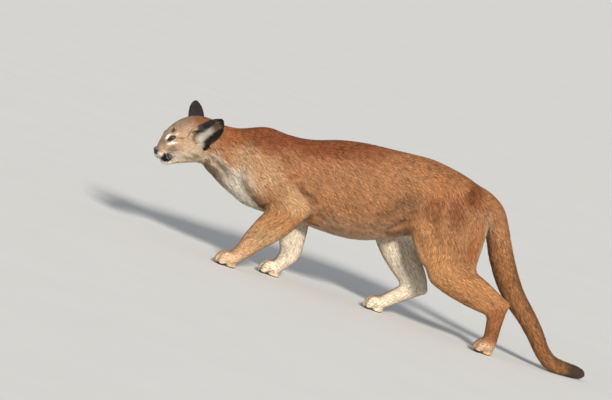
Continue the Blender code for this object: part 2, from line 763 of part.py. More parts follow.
def nose(body_grown):
    """The bare pad with two nostrils, on the front of the muzzle."""
    m = head_matrix()
    mesh = bmesh.new()
    for centre, radii in NOSE_MASSES:
        for s in (-1, 1) if centre[1] else (1,):
            ball(mesh, mirrored(centre, s), radii, m)
    made = fused(new_object("nose", mesh), NOSE_VOXEL)
    softened(made, "soft", 3, lambda point: 1.0)
    thin = made.modifiers.new("thin", "DECIMATE")
    thin.ratio = NOSE_SHARE
    applied(made)
    made.data.materials.append(FINISH["nose"])
    centre, radii = NOSTRIL
    holes = []
    for s in (-1, 1):
        hole = bmesh.new()
        ball(hole, mirrored(centre, s), radii, m, 12)
        holes.append(cutter("nostril", hole))
    cut_by(made, holes + [copied(body_grown)])
    return kept_largest(made)


def eyes():
    for name, s in (("eye_left", -1), ("eye_right", 1)):
        mesh = bmesh.new()
        ball(mesh, mirrored(EYE_CENTRE, s), [EYE_RADIUS] * 3, head_matrix(), 18)
        made = new_object(name, mesh)
        made.data.materials.append(FINISH["eye"])
        made.data.shade_smooth()


def named_parts(body):
    """Splits the cut body into one object for each of its named nodes."""
    mesh = bmesh.new()
    mesh.from_mesh(body.data)
    groups = islands(mesh)
    for name, seed in SEEDS.items():
        seed = Vector(seed)
        nearest = min(groups, key=lambda g: min((f.calc_center_median() - seed).length for f in g))
        part_mesh = bmesh.new()
        made = {}
        for face in nearest:
            corners = []
            for vertex in face.verts:
                if vertex not in made:
                    made[vertex] = part_mesh.verts.new(vertex.co)
                corners.append(made[vertex])
            part_mesh.faces.new(corners)
        data = bpy.data.meshes.new(name)
        part_mesh.to_mesh(data)
        part_mesh.free()
        piece = bpy.data.objects.new(name, data)
        piece.data.materials.append(FINISH["tail_tip" if name == "tail_tip" else "coat"])
        bpy.context.scene.collection.objects.link(piece)
    mesh.free()
    bpy.data.objects.remove(body)


def stood_at_origin():
    """Moves everything so that the middle of the box's underside is the origin."""
    nodes = [o for o in bpy.context.scene.objects if o.type == "MESH"]
    points = [v.co for o in nodes for v in o.data.vertices]
    low = Vector([min(p[i] for p in points) for i in range(3)])
    high = Vector([max(p[i] for p in points) for i in range(3)])
    shift = Vector((-(low.x + high.x) / 2, -(low.y + high.y) / 2, 0.0))
    for node in nodes:
        node.data.transform(Matrix.Translation(shift))


FINISH = {}


def main():
    for old in list(bpy.data.objects):
        bpy.data.objects.remove(old)
    for name, (colour, roughness) in FINISHES.items():
        FINISH[name] = material(name, colour, roughness)
    body = fused(flesh(), VOXEL)
    softened(body, "fine", FINE_ROUNDS, lambda point: 1.0)
    softened(body, "limbs", LIMB_ROUNDS, lambda point: 1.0 - detail_share(point))
    softened(body, "trunk", TRUNK_ROUNDS, trunk_share)
    thinned(body, THIN_SHARE)
    body_grown = grown(body, GAP)
    for name in EARS:
        ear(name, body_grown)
    nose(body_grown)
    bpy.data.objects.remove(body_grown)
    eyes()
    cutters = [mouth_cutter(body), floor_cutter()] + [ear_hollow(name) for name in EARS]
    for name, s in (("left", -1), ("right", 1)):
        cutters += eye_cutters(s, name)
    for i, (centre, direction, radius) in enumerate(CUTS):
        cutters.append(disc_cutter(f"cut_{i}", centre, direction, radius))
    for name, (side, inner, outline) in LEG_CUTS.items():
        cutters.append(leg_cutter(name + "_cut", side, inner, outline))
    cut_by(body, cutters)
    named_parts(body)
    stood_at_origin()


if __name__ == "__main__":
    main()
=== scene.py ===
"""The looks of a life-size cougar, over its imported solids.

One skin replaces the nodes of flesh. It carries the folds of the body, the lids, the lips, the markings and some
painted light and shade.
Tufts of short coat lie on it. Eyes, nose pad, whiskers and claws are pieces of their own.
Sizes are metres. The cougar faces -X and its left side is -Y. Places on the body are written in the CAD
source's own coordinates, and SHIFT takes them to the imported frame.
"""

import math

import bmesh
import bpy
import numpy as np
from mathutils import Matrix, Vector
from mathutils.bvhtree import BVHTree


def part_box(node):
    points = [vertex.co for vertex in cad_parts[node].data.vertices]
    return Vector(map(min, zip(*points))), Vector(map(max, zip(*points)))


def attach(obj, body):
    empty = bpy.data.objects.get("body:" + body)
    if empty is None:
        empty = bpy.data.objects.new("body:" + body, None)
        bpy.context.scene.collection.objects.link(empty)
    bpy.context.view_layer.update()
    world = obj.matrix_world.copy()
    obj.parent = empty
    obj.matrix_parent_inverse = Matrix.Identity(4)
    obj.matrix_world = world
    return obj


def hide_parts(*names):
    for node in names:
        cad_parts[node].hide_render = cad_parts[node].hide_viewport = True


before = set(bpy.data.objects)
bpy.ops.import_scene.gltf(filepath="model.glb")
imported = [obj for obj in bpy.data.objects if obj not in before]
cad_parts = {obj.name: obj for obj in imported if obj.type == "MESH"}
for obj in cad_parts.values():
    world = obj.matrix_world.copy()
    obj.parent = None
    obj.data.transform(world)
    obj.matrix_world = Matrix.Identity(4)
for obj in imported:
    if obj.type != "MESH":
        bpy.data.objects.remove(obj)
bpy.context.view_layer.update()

FLESH = (
    "head", "neck", "torso", "foreleg_left", "foreleg_right", "hindleg_left", "hindleg_right",
    "tail_upper", "tail_middle", "tail_tip",
)
EARS = ("ear_left", "ear_right")
REGIONS = FLESH + EARS
BODY_VOXEL = 0.0033
EAR_VOXEL = 0.0013
JOIN = 0.0003

# The head's place, pitch and yaw, and the eyes in the head's own frame
HEAD_AT = Vector((-0.283, -0.006, 0.3735))
HEAD_PITCH = math.radians(19.0)
HEAD_YAW = math.radians(19.0)
EYE_CENTRE = Vector((-0.0915, 0.0315, 0.0015))
EYE_RADIUS = 0.0135
EYE_GAZE = Vector((-0.82, 0.55, 0.06))
EYE_OPENING = (0.0130, 0.0060, 0.0045)
EYE_SLANT = math.radians(16.0)
MOUTH_AXIS_X = -0.108
MOUTH = ((0, -0.0620), (25, -0.0655), (50, -0.0700), (75, -0.0695), (100, -0.0635), (122, -0.0560))

# Joints of the legs, from the body down
LEG_LINES = {
    "foreleg_left": ((-0.055, -0.084, 0.330), (0.128, -0.090, 0.256), (0.006, -0.086, 0.092),
                     (-0.036, -0.089, 0.031), (-0.090, -0.094, 0.012)),
    "foreleg_right": ((-0.050, 0.084, 0.330), (0.130, 0.090, 0.272), (0.152, 0.087, 0.094),
                      (0.118, 0.089, 0.031), (0.064, 0.093, 0.012)),
    "hindleg_left": ((0.645, -0.062, 0.435), (0.640, -0.096, 0.226), (0.868, -0.088, 0.164),
                     (0.882, -0.090, 0.031), (0.830, -0.093, 0.012)),
    "hindleg_right": ((0.605, 0.062, 0.435), (0.442, 0.096, 0.277), (0.598, 0.088, 0.128),
                      (0.494, 0.090, 0.032), (0.440, 0.093, 0.012)),
}
TRUNK_LINE = ((-0.245, 0.0, 0.370), (-0.060, 0.0, 0.350), (0.180, 0.0, 0.370), (0.500, 0.0, 0.425),
              (0.735, 0.0, 0.460))
# Middle line of the tail
TAIL_LINE = ((0.690, 0.0, 0.488), (0.745, 0.0, 0.462), (0.785, 0.0, 0.405), (0.822, 0.0, 0.336),
             (0.874, 0.0, 0.257), (0.924, 0.0, 0.202), (0.978, 0.002, 0.157), (1.028, 0.010, 0.108),
             (1.068, 0.024, 0.062), (1.110, 0.044, 0.032), (1.158, 0.070, 0.024), (1.200, 0.100, 0.022),
             (1.245, 0.145, 0.020))
HEAD_LINE = ((-0.155, 0.0, -0.045), (0.095, 0.0, -0.005))
# Ears in the head's frame: base, towards the tip, and out of the cup
EAR_AXES = {
    "ear_left": ((-0.012, -0.069, 0.003), (0.66, -0.49, 0.62), (-0.16, -0.85, -0.50)),
    "ear_right": ((0.003, 0.029, 0.021), (0.10, 0.22, 0.97), (-0.52, 0.85, 0.05)),
}
EAR_LENGTH = 0.104
EAR_ROOT_DEPTH = 0.009
PAWS = {
    "foreleg_left": ((-0.036, -0.089, 0.031), (-1.0, -0.10, 0.0), 1.0),
    "foreleg_right": ((0.118, 0.089, 0.031), (-1.0, 0.08, 0.0), 1.0),
    "hindleg_left": ((0.882, -0.090, 0.031), (-1.0, -0.06, 0.0), 0.93),
    "hindleg_right": ((0.494, 0.090, 0.032), (-1.0, 0.06, 0.0), 0.93),
}
TOES = ((-1.5, 0.036), (-0.5, 0.050), (0.5, 0.050), (1.5, 0.036))
TOE_SPREAD = 0.0215

# Coat colours, as linear light
TAN = (0.345, 0.160, 0.070)
SADDLE = (0.232, 0.070, 0.026)
RUFOUS = (0.320, 0.110, 0.038)
GOLD = (0.485, 0.232, 0.090)
SAND = (0.560, 0.365, 0.205)
HAUNCH = (0.140, 0.036, 0.010)
GREY_BROWN = (0.225, 0.135, 0.083)
UMBER = (0.165, 0.083, 0.042)
SMOKE = (0.150, 0.100, 0.074)
CREAM = (0.760, 0.600, 0.430)
WHITE = (0.880, 0.830, 0.750)
FACE = (0.420, 0.275, 0.172)
FOREHEAD = (0.300, 0.200, 0.125)
DARK = (0.040, 0.027, 0.021)
BLACK = (0.010, 0.008, 0.007)
EAR_BACK = (0.054, 0.036, 0.040)
TAIL_SIDE = (0.290, 0.122, 0.043)
TAIL_TOP = (0.150, 0.070, 0.034)
TAIL_END = (0.045, 0.030, 0.022)

# Oval patches of the body's side: place as x and z, half sizes, lean in degrees, colour and strength
MARKS = (
    ((-0.190, 0.420), (0.075, 0.040), 10, RUFOUS, 0.80),
    ((-0.080, 0.455), (0.080, 0.055), 12, SADDLE, 0.75),
    ((0.090, 0.480), (0.120, 0.040), 8, SADDLE, 0.60),
    ((0.230, 0.520), (0.140, 0.034), 12, SADDLE, 0.50),
    # Painted light: the pale sand patch that follows lightens the side of the neck.
    ((-0.110, 0.372), (0.040, 0.045), -50, SAND, 0.60),
    ((-0.020, 0.345), (0.060, 0.050), -30, SAND, 0.50),
    ((0.100, 0.285), (0.060, 0.040), -25, SAND, 0.55),
    # Painted shade: the umber patch that follows darkens the flank's hollow in front of the thigh.
    ((0.450, 0.380), (0.095, 0.034), 42, UMBER, 0.55),
    ((0.560, 0.470), (0.060, 0.060), 30, RUFOUS, 0.45),
    ((0.330, 0.285), (0.130, 0.032), 12, GREY_BROWN, 0.35),
    # Painted shade: the three dark patches that follow lie in the hollows of the pelvis, the hip and the thigh.
    ((0.664, 0.492), (0.030, 0.038), 30, HAUNCH, 0.85),
    ((0.630, 0.428), (0.030, 0.050), 15, HAUNCH, 0.62),
    ((0.537, 0.404), (0.018, 0.030), 10, HAUNCH, 0.35),
    ((0.722, 0.330), (0.026, 0.065), -8, RUFOUS, 0.65),
    ((0.560, 0.310), (0.060, 0.060), -30, GOLD, 0.60),
    ((0.640, 0.250), (0.060, 0.050), -20, GOLD, 0.75),
    ((0.770, 0.190), (0.070, 0.030), -28, GOLD, 0.40),
    ((0.882, 0.110), (0.026, 0.060), 0, SADDLE, 0.75),
    ((0.745, 0.195), (0.050, 0.030), -20, RUFOUS, 0.45),
)
# Ovals of the face in the head's frame, on both sides: centre, radii, lean in degrees, colour and strength
FACE_MARKS = (
    ((-0.118, 0.018, -0.006), (0.024, 0.017, 0.020), 30, SMOKE, 0.55),
    ((-0.104, 0.042, -0.036), (0.019, 0.020, 0.015), 0, SMOKE, 0.75),
    # Painted highlight: the pale cream stripe that follows lies on the forehead in front of each brow.
    ((-0.104, 0.020, 0.034), (0.024, 0.013, 0.007), 45, CREAM, 0.45),
    ((-0.040, 0.064, -0.036), (0.032, 0.024, 0.016), 10, CREAM, 0.32),
    ((-0.080, 0.045, -0.064), (0.022, 0.020, 0.0095), 0, CREAM, 0.80),
    ((-0.032, 0.064, -0.054), (0.022, 0.018, 0.0055), -30, SMOKE, 0.60),
    ((-0.110, 0.000, -0.086), (0.026, 0.026, 0.0100), 0, WHITE, 0.75),
    ((-0.111, 0.031, 0.0065), (0.0130, 0.015, 0.0052), 42, WHITE, 0.98),
    ((-0.084, 0.040, 0.0170), (0.0130, 0.015, 0.0040), 20, CREAM, 0.35),
    ((-0.098, 0.039, -0.0135), (0.0170, 0.017, 0.0036), 11, WHITE, 0.85),
    ((-0.095, 0.027, 0.0245), (0.0130, 0.014, 0.0058), 53, DARK, 0.92),
    ((-0.105, 0.035, -0.0040), (0.0110, 0.014, 0.0036), 24, DARK, 0.85),
    ((-0.070, 0.050, 0.0030), (0.0170, 0.015, 0.0030), 4, DARK, 0.65),
    ((-0.119, 0.037, -0.0645), (0.0205, 0.030, 0.0190), 0, BLACK, 1.00),
    ((-0.148, 0.020, -0.0530), (0.0125, 0.028, 0.0110), 0, WHITE, 1.00),
)
# Pale and dark stripes of the side: a line as x and z, half width, colour and strength
STRIPES = (
    (((0.727, 0.470), (0.750, 0.417), (0.752, 0.342), (0.778, 0.262)), 0.010, SAND, 0.70),
    (((0.520, 0.300), (0.560, 0.245), (0.647, 0.180)), 0.010, SAND, 0.60),
    (((0.000, 0.215), (0.040, 0.262), (0.130, 0.252)), 0.008, SAND, 0.35),
    (((0.560, 0.470), (0.570, 0.390), (0.590, 0.330)), 0.012, HAUNCH, 0.25),
    # Painted shade: the dark umber stripes that follow lie in the creases behind the arm and at the elbow, in the
    # flank's fold and hollow, in the grooves at the heel and the calf, and along the low edge of the belly.
    (((0.090, 0.343), (0.117, 0.321), (0.154, 0.303), (0.178, 0.270)), 0.0065, UMBER, 0.60),
    (((-0.010, 0.212), (0.014, 0.236), (0.040, 0.256), (0.066, 0.266)), 0.0055, UMBER, 0.50),
    (((0.390, 0.280), (0.430, 0.310), (0.480, 0.352)), 0.0060, UMBER, 0.45),
    (((0.372, 0.305), (0.408, 0.352), (0.450, 0.405)), 0.0090, UMBER, 0.35),
    (((0.774, 0.190), (0.812, 0.180), (0.858, 0.158)), 0.0060, UMBER, 0.60),
    (((0.725, 0.240), (0.752, 0.250), (0.786, 0.262)), 0.0055, UMBER, 0.50),
    (((0.180, 0.243), (0.260, 0.240), (0.340, 0.256), (0.400, 0.280)), 0.0120, UMBER, 0.50),
)

SHOWN_COLOUR = "Coat"
rng = np.random.default_rng(11)


def unit(vectors):
    return vectors / np.maximum(np.linalg.norm(vectors, axis=-1, keepdims=True), 1e-12)


def step(low, high, values):
    """0 below low and 1 above high, smooth between. High may be the lower one."""
    t = np.clip((values - low) / (high - low), 0.0, 1.0)
    return t * t * (3 - 2 * t)


def mirrored(vector, s):
    return Vector((vector[0], s * vector[1], vector[2]))


HEAD_TURN = Matrix.Rotation(-HEAD_PITCH, 4, "Y") @ Matrix.Rotation(HEAD_YAW, 4, "Z")


def found_shift():
    """From the CAD source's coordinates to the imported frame, by the left eye."""
    low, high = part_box("eye_left")
    return (low + high) / 2 - (HEAD_AT + HEAD_TURN @ mirrored(EYE_CENTRE, -1))


SHIFT = found_shift()
HEAD = Matrix.Translation(SHIFT + HEAD_AT) @ HEAD_TURN
HEAD_AXES = np.array(HEAD_TURN.to_3x3())
HEAD_SPOT = np.array(SHIFT + HEAD_AT)


def to_body(points):
    return points - np.array(SHIFT)


def to_head(points):
    return (points - HEAD_SPOT) @ HEAD_AXES


def eye_axes(s):
    """Where an eye sits in the head's frame: its centre, and its axes outward, up and ahead."""
    ahead = mirrored(EYE_GAZE, s).normalized()
    up = (Vector((0, 0, 1)) - ahead * ahead.z).normalized()
    out = ahead.cross(up) * s
    lifted = out * math.cos(EYE_SLANT) + up * math.sin(EYE_SLANT)
    raised = up * math.cos(EYE_SLANT) - out * math.sin(EYE_SLANT)
    return mirrored(EYE_CENTRE, s), lifted, raised, ahead


def ear_axes(name):
    """An ear's base, and its directions towards the tip, out of the cup and across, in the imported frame."""
    base, tip, opening = (Vector(v) for v in EAR_AXES[name])
    tip.normalize()
    opening = (opening - tip * opening.dot(tip)).normalized()
    turn = HEAD_TURN.to_3x3()
    return HEAD @ base, turn @ tip, turn @ opening, turn @ tip.cross(opening)


def arrays_of(data):
    """Vertices and triangles of a mesh."""
    data.calc_loop_triangles()
    points = np.empty(len(data.vertices) * 3, np.float32)
    data.vertices.foreach_get("co", points)
    faces = np.empty(len(data.loop_triangles) * 3, np.int32)
    data.loop_triangles.foreach_get("vertices", faces)
    return points.reshape(-1, 3).astype(float), faces.reshape(-1, 3)


def mesh_object(name, points, faces, smooth=True):
    """An object in the scene from numpy arrays of points and triangles."""
    data = bpy.data.meshes.new(name)
    data.vertices.add(len(points))
    data.vertices.foreach_set("co", np.asarray(points, np.float32).ravel())
    data.loops.add(faces.size)
    data.loops.foreach_set("vertex_index", np.asarray(faces, np.int32).ravel())
    data.polygons.add(len(faces))
    data.polygons.foreach_set("loop_start", np.arange(0, faces.size, 3, dtype=np.int32))
    data.polygons.foreach_set("use_smooth", np.full(len(faces), smooth))
    data.update(calc_edges=True)
    made = bpy.data.objects.new(name, data)
    bpy.context.scene.collection.objects.link(made)
    return made


def coloured(obj, colours):
    """Stores one colour for each vertex."""
    layer = obj.data.color_attributes.new(SHOWN_COLOUR, "FLOAT_COLOR", "POINT")
    layer.data.foreach_set("color", np.c_[colours, np.ones(len(colours))].astype(np.float32).ravel())
    return obj


def edges_of(faces):
    pairs = np.sort(np.concatenate([faces[:, [0, 1]], faces[:, [1, 2]], faces[:, [2, 0]]]), axis=1)
    return np.unique(pairs, axis=0)


def relaxed(values, edges, rounds, weight=None, factor=0.5):
    """Draws each vertex's values towards its neighbours' mean, by its weight."""
    count = np.bincount(edges.ravel(), minlength=len(values))[:, None]
    share = factor * (1.0 if weight is None else weight[:, None])
    a, b = edges.T
    for _ in range(rounds):
        mean = np.stack([
            np.bincount(a, values[b, k], len(values)) + np.bincount(b, values[a, k], len(values))
            for k in range(values.shape[1])
        ], axis=1) / np.maximum(count, 1)
        values = values + share * (mean - values)
    return values


def normals_of(points, faces):
    corner = points[faces]
    flat = np.cross(corner[:, 1] - corner[:, 0], corner[:, 2] - corner[:, 0])
    summed = np.stack([
        sum(np.bincount(faces[:, c], flat[:, k], len(points)) for c in range(3)) for k in range(3)
    ], axis=1)
    return unit(summed)


def remeshed(nodes, voxel, grow, name):
    """Triangles of one skin over some CAD nodes."""
    mesh = bmesh.new()
    for node in nodes:
        mesh.from_mesh(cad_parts[node].data)
    bmesh.ops.remove_doubles(mesh, verts=mesh.verts, dist=1e-5)
    mesh.normal_update()
    for vertex in mesh.verts:
        vertex.co += vertex.normal * grow
    data = bpy.data.meshes.new(name)
    mesh.to_mesh(data)
    mesh.free()
    made = bpy.data.objects.new(name, data)
    bpy.context.scene.collection.objects.link(made)
    remesh = made.modifiers.new("fuse", "REMESH")
    remesh.mode = "VOXEL"
    remesh.voxel_size = voxel
    graph = bpy.context.evaluated_depsgraph_get()
    result = bpy.data.meshes.new_from_object(made.evaluated_get(graph))
    bpy.data.objects.remove(made)
    return result


def refined(data, near):
    """Splits each edge whose ends are both near the fine forms, as a function of the points says."""
    points, _ = arrays_of(data)
    wanted = near(points)
    mesh = bmesh.new()
    mesh.from_mesh(data)
    mesh.verts.index_update()
    edges = [e for e in mesh.edges if wanted[e.verts[0].index] and wanted[e.verts[1].index]]
    bmesh.ops.subdivide_edges(mesh, edges=edges, cuts=1, use_grid_fill=True)
    mesh.to_mesh(data)
    mesh.free()
    return data


def on_head(points):
    local = to_head(points)
    return (local[:, 0] < 0.045) & (local[:, 0] > -0.2) & (to_body(points)[:, 0] < -0.16)


def on_features(points):
    """Round the eyes, the mouth and the nose."""
    local = to_head(points)
    near = (local[:, 0] < -0.085) & (local[:, 2] < -0.022) & (local[:, 2] > -0.085)
    near |= (local[:, 0] < -0.060) & (local[:, 2] < -0.045) & (local[:, 2] > -0.080)
    for s in (-1, 1):
        near |= np.linalg.norm(local - np.array(mirrored(EYE_CENTRE, s)), axis=1) < 0.026
    return near & (local[:, 0] > -0.2) & (to_body(points)[:, 0] < -0.16)


def polyline_spot(points, line):
    """For each point: the nearest spot on a line, its direction there, and its share of the line's length."""
    line = np.array(line, float)
    lengths = np.linalg.norm(np.diff(line, axis=0), axis=1)
    starts = np.concatenate([[0.0], np.cumsum(lengths)])
    best = np.full(len(points), np.inf)
    spot = np.zeros((len(points), 3))
    heading = np.zeros((len(points), 3))
    share = np.zeros(len(points))
    for i, length in enumerate(lengths):
        along = (line[i + 1] - line[i]) / length
        reach = (points - line[i]) @ along
        held = np.clip(reach, 0.0, length)
        near = line[i] + held[:, None] * along
        gap = np.linalg.norm(points - near, axis=1)
        closer = gap < best
        best = np.where(closer, gap, best)
        spot[closer] = near[closer]
        heading[closer] = along
        share = np.where(closer, (starts[i] + held) / starts[-1], share)
    return spot, heading, share


def lines():
    """The middle line of each region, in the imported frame."""
    shift = np.array(SHIFT)
    found = {name: np.array(line) + shift for name, line in LEG_LINES.items()}
    found["neck"] = found["torso"] = np.array(TRUNK_LINE) + shift
    for name in ("tail_upper", "tail_middle", "tail_tip"):
        found[name] = np.array(TAIL_LINE) + shift
    found["head"] = np.array([HEAD @ Vector(p) for p in HEAD_LINE])
    for name in EARS:
        base, tip, _, _ = ear_axes(name)
        found[name] = np.array([base - tip * 0.02, base + tip * (EAR_LENGTH + 0.01)])
    return found


LINES = lines()


def node_tree():
    """A search tree over the flesh nodes, and the region of each of its faces."""
    points, faces, owner = [], [], []
    start = 0
    for k, name in enumerate(REGIONS):
        p, f = arrays_of(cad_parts[name].data)
        points.append(p)
        faces.append(f + start)
        owner += [k] * len(f)
        start += len(p)
    tree = BVHTree.FromPolygons(np.concatenate(points).tolist(), np.concatenate(faces).tolist())
    return tree, np.array(owner)


def regions_of(points):
    tree, owner = node_tree()
    hits = [tree.find_nearest(p)[2] for p in points.tolist()]
    return owner[np.array(hits)]


def in_region(region, *names):
    return np.isin(region, [REGIONS.index(n) for n in names])


# Forms of muscle and loose skin, seen from the side: a line along each, half width, height, and its sides
FOLDS = {
    "blade ridge": (((-0.078, 0.440), (-0.060, 0.380), (-0.050, 0.330)), 0.016, 0.0032, (-1, 1)),
    "before the blade": (((-0.122, 0.440), (-0.105, 0.370), (-0.098, 0.300)), 0.024, -0.0032, (-1, 1)),
    "neck muscle": (((-0.230, 0.400), (-0.160, 0.345), (-0.100, 0.285)), 0.019, 0.0032, (-1, 1)),
    "throat groove": (((-0.235, 0.350), (-0.170, 0.300), (-0.125, 0.262)), 0.016, -0.0030, (-1, 1)),
    "behind the blade": (((0.010, 0.460), (0.055, 0.400), (0.075, 0.355)), 0.018, -0.0042, (-1, 1)),
    "upper arm": (((0.000, 0.375), (0.060, 0.332), (0.115, 0.290)), 0.026, 0.0048, (-1, 1)),
    "behind the arm": (((0.080, 0.350), (0.117, 0.321), (0.154, 0.303), (0.178, 0.274)), 0.0080, -0.0080, (-1, 1)),
    "armpit": (((0.176, 0.262), (0.205, 0.250), (0.245, 0.250)), 0.011, -0.0036, (-1, 1)),
    "arm crease": (((-0.014, 0.208), (0.010, 0.232), (0.032, 0.252), (0.058, 0.264)), 0.007, -0.0042, (-1,)),
    "chest fold 1": (((0.198, 0.312), (0.218, 0.285), (0.238, 0.262)), 0.0065, -0.0024, (-1, 1)),
    "chest fold 2": (((0.228, 0.322), (0.250, 0.290), (0.268, 0.266)), 0.0070, 0.0020, (-1, 1)),
    "last rib": (((0.330, 0.450), (0.347, 0.380), (0.322, 0.310)), 0.012, -0.0026, (-1, 1)),
    "flank hollow": (((0.372, 0.305), (0.408, 0.352), (0.450, 0.405), (0.494, 0.454)), 0.017, -0.0068, (-1, 1)),
    "flank fold 1": (((0.383, 0.288), (0.418, 0.318), (0.468, 0.366)), 0.0072, 0.0040, (-1, 1)),
    "flank fold 2": (((0.408, 0.280), (0.445, 0.312), (0.492, 0.356)), 0.0070, -0.0040, (-1, 1)),
    "flank fold 3": (((0.430, 0.282), (0.470, 0.312), (0.520, 0.366)), 0.0080, 0.0034, (-1, 1)),
    "belly fold 1": (((0.290, 0.262), (0.330, 0.272), (0.370, 0.292)), 0.0065, -0.0026, (-1, 1)),
    "belly fold 2": (((0.250, 0.236), (0.310, 0.244), (0.360, 0.262)), 0.0070, 0.0022, (-1, 1)),
    "thigh front": (((0.500, 0.440), (0.515, 0.370), (0.548, 0.295)), 0.019, 0.0050, (-1, 1)),
    "thigh hollow": (((0.545, 0.450), (0.538, 0.405), (0.552, 0.355)), 0.015, -0.0046, (-1, 1)),
    "thigh middle": (((0.585, 0.470), (0.590, 0.400), (0.602, 0.320)), 0.018, 0.0042, (-1, 1)),
    "hip hollow": (((0.628, 0.455), (0.632, 0.410), (0.646, 0.345)), 0.015, -0.0042, (-1, 1)),
    "hip point": (((0.472, 0.520), (0.492, 0.500)), 0.016, 0.0040, (-1, 1)),
    "pelvis hollow": (((0.640, 0.522), (0.666, 0.500), (0.684, 0.466)), 0.013, -0.0056, (-1, 1)),
    "seat bone": (((0.704, 0.482), (0.724, 0.446)), 0.013, 0.0036, (-1, 1)),
    "hamstring": (((0.688, 0.430), (0.712, 0.370), (0.728, 0.300), (0.737, 0.248)), 0.0095, -0.0046, (-1,)),
    "calf crease": (((0.695, 0.236), (0.735, 0.240), (0.778, 0.258)), 0.0075, -0.0042, (-1,)),
    "heel groove": (((0.758, 0.226), (0.810, 0.190), (0.858, 0.158)), 0.0080, -0.0055, (-1,)),
    "shin": (((0.660, 0.198), (0.750, 0.163), (0.830, 0.140)), 0.010, 0.0024, (-1,)),
    "forearm groove": (((0.108, 0.226), (0.055, 0.165), (0.012, 0.108)), 0.0075, -0.0034, (-1,)),
    "forearm muscle": (((0.086, 0.240), (0.036, 0.180), (0.000, 0.128)), 0.0085, 0.0026, (-1,)),
}
FOLD_WANDER = 0.004
FOLD_STRENGTH = 1.45
RIBS = 6
RIB_FIRST = 0.175
RIB_PITCH = 0.032
RIB_HEIGHT = 0.0010


def with_folds(points, normals):
    """Muscle, loose skin and the hint of ribs, along the normals."""
    body = to_body(points)
    seen = body[:, [0, 2]] + FOLD_WANDER * np.c_[patches(body, 0.06, 5), patches(body, 0.06, 6)]
    flat = np.c_[seen[:, 0], np.zeros(len(seen)), seen[:, 1]]
    lift = np.zeros(len(points))
    for line, width, height, sides in FOLDS.values():
        path = np.array([(x, 0.0, z) for x, z in line])
        near, _, share = polyline_spot(flat, path)
        off = np.linalg.norm(flat - near, axis=1)
        bump = FOLD_STRENGTH * height * np.exp(-((off / width) ** 2)) * step(0.0, 0.22, share) * step(1.0, 0.78, share)
        for s in sides:
            lift += bump * step(0.10, 0.50, normals[:, 1] * s) * (body[:, 1] * s > 0.0)
    for i in range(RIBS):
        slanted = body[:, 0] - RIB_FIRST - i * RIB_PITCH - 0.35 * (0.35 - body[:, 2])
        side = step(0.5, 0.85, np.abs(normals[:, 1])) * step(0.25, 0.30, body[:, 2]) * step(0.45, 0.38, body[:, 2])
        lift += RIB_HEIGHT * np.exp(-((slanted / 0.010) ** 2)) * side
    return points + normals * lift[:, None]


def coat_depth(points, normals, region):
    """How far the skin lies inside the coat's outline."""
    body, local = to_body(points), to_head(points)
    depth = np.full(len(points), 0.0045)
    under = step(-0.2, -0.7, normals[:, 2]) * in_region(region, "torso", "neck")
    depth += 0.0020 * under
    legs = in_region(region, *LEG_LINES)
    depth = np.where(legs, 0.0012 + 0.0030 * step(0.08, 0.30, body[:, 2]), depth)
    tail = in_region(region, "tail_upper", "tail_middle", "tail_tip")
    depth = np.where(tail, 0.0060 * step(0.70, 0.80, body[:, 0]) + 0.0045 * step(0.80, 0.70, body[:, 0]), depth)
    head = in_region(region, "head")
    depth = np.where(head, 0.0006 + 0.0030 * step(-0.11, 0.04, local[:, 0]), depth)
    return np.where(in_region(region, *EARS), 0.0, depth)


def almond_edge(s, count=48):
    """The outline of the eye's opening, as offsets outward and up from its middle."""
    half, upper, lower = EYE_OPENING
    turns = np.linspace(0, 2 * math.pi, count, endpoint=False)
    t = np.cos(turns)
    rise = np.where(np.sin(turns) >= 0, upper * (1 - t**2) ** 0.75, -lower * (1 - t**2))
    return np.c_[half * t, rise]


def with_lids(points):
    """Opens the skin over each eye, and gives the opening lids that lie on the eyeball."""
    local = to_head(points)
    half, upper, lower = EYE_OPENING
    for s in (-1, 1):
        centre, out, up, ahead = (np.array(v) for v in eye_axes(s))
        q = local - centre
        reach = np.linalg.norm(q, axis=1)
        near = (reach < 0.027) & (q @ ahead > -0.002)
        u, v = q[near] @ out, q[near] @ up
        outline = almond_edge(s)
        gap = np.sqrt(((np.c_[u, v][:, None] - outline[None]) ** 2).sum(2)).min(1)
        t = np.clip(np.abs(u) / half, 0, 1)
        limit = np.where(v >= 0, upper * (1 - t**2) ** 0.75, lower * (1 - t**2))
        d = np.where((np.abs(v) < limit) & (np.abs(u) < half), -gap, gap)
        brow = np.where(v >= 0, 1.0, 0.6)
        lid = EYE_RADIUS + 0.0002 + 0.0016 * brow * step(-0.0001, 0.0016, d) + 0.0006 * step(0.002, 0.006, d)
        lid -= 0.0007 * np.exp(-(((d - 0.0042) / 0.0012) ** 2)) * brow
        far = np.maximum(reach[near], EYE_RADIUS + 0.0010)
        mixed = lid + (far - lid) * step(0.0025, 0.0100, d)
        target = np.where(d < -0.0004, EYE_RADIUS - 0.0030, mixed)
        local[near] = centre + q[near] / reach[near, None] * target[:, None]
    return local @ HEAD_AXES.T + HEAD_SPOT


def mouth_gap(local):
    """Height above the mouth line, and how strongly the line shows, for points in the head's frame."""
    turns, heights = np.array(MOUTH, float).T
    turn = np.degrees(np.arctan2(np.abs(local[:, 1]), -(local[:, 0] - MOUTH_AXIS_X)))
    shown = step(122, 108, turn) * (local[:, 0] < -0.05)
    return local[:, 2] - np.interp(turn, turns, heights), shown


# Soft forms of the face in the head's frame: centre, radii and rise of the whisker pads, chin and cheeks
FACE_SWELLS = (
    ((-0.124, 0.036, -0.050), (0.022, 0.020, 0.015), 0.0050),
    ((-0.132, 0.016, -0.056), (0.016, 0.014, 0.010), 0.0018),
    ((-0.122, 0.012, -0.088), (0.020, 0.022, 0.012), 0.0030),
    ((-0.096, 0.046, -0.026), (0.012, 0.016, 0.014), -0.0022),
    ((-0.120, 0.026, -0.016), (0.018, 0.012, 0.018), -0.0018),
)


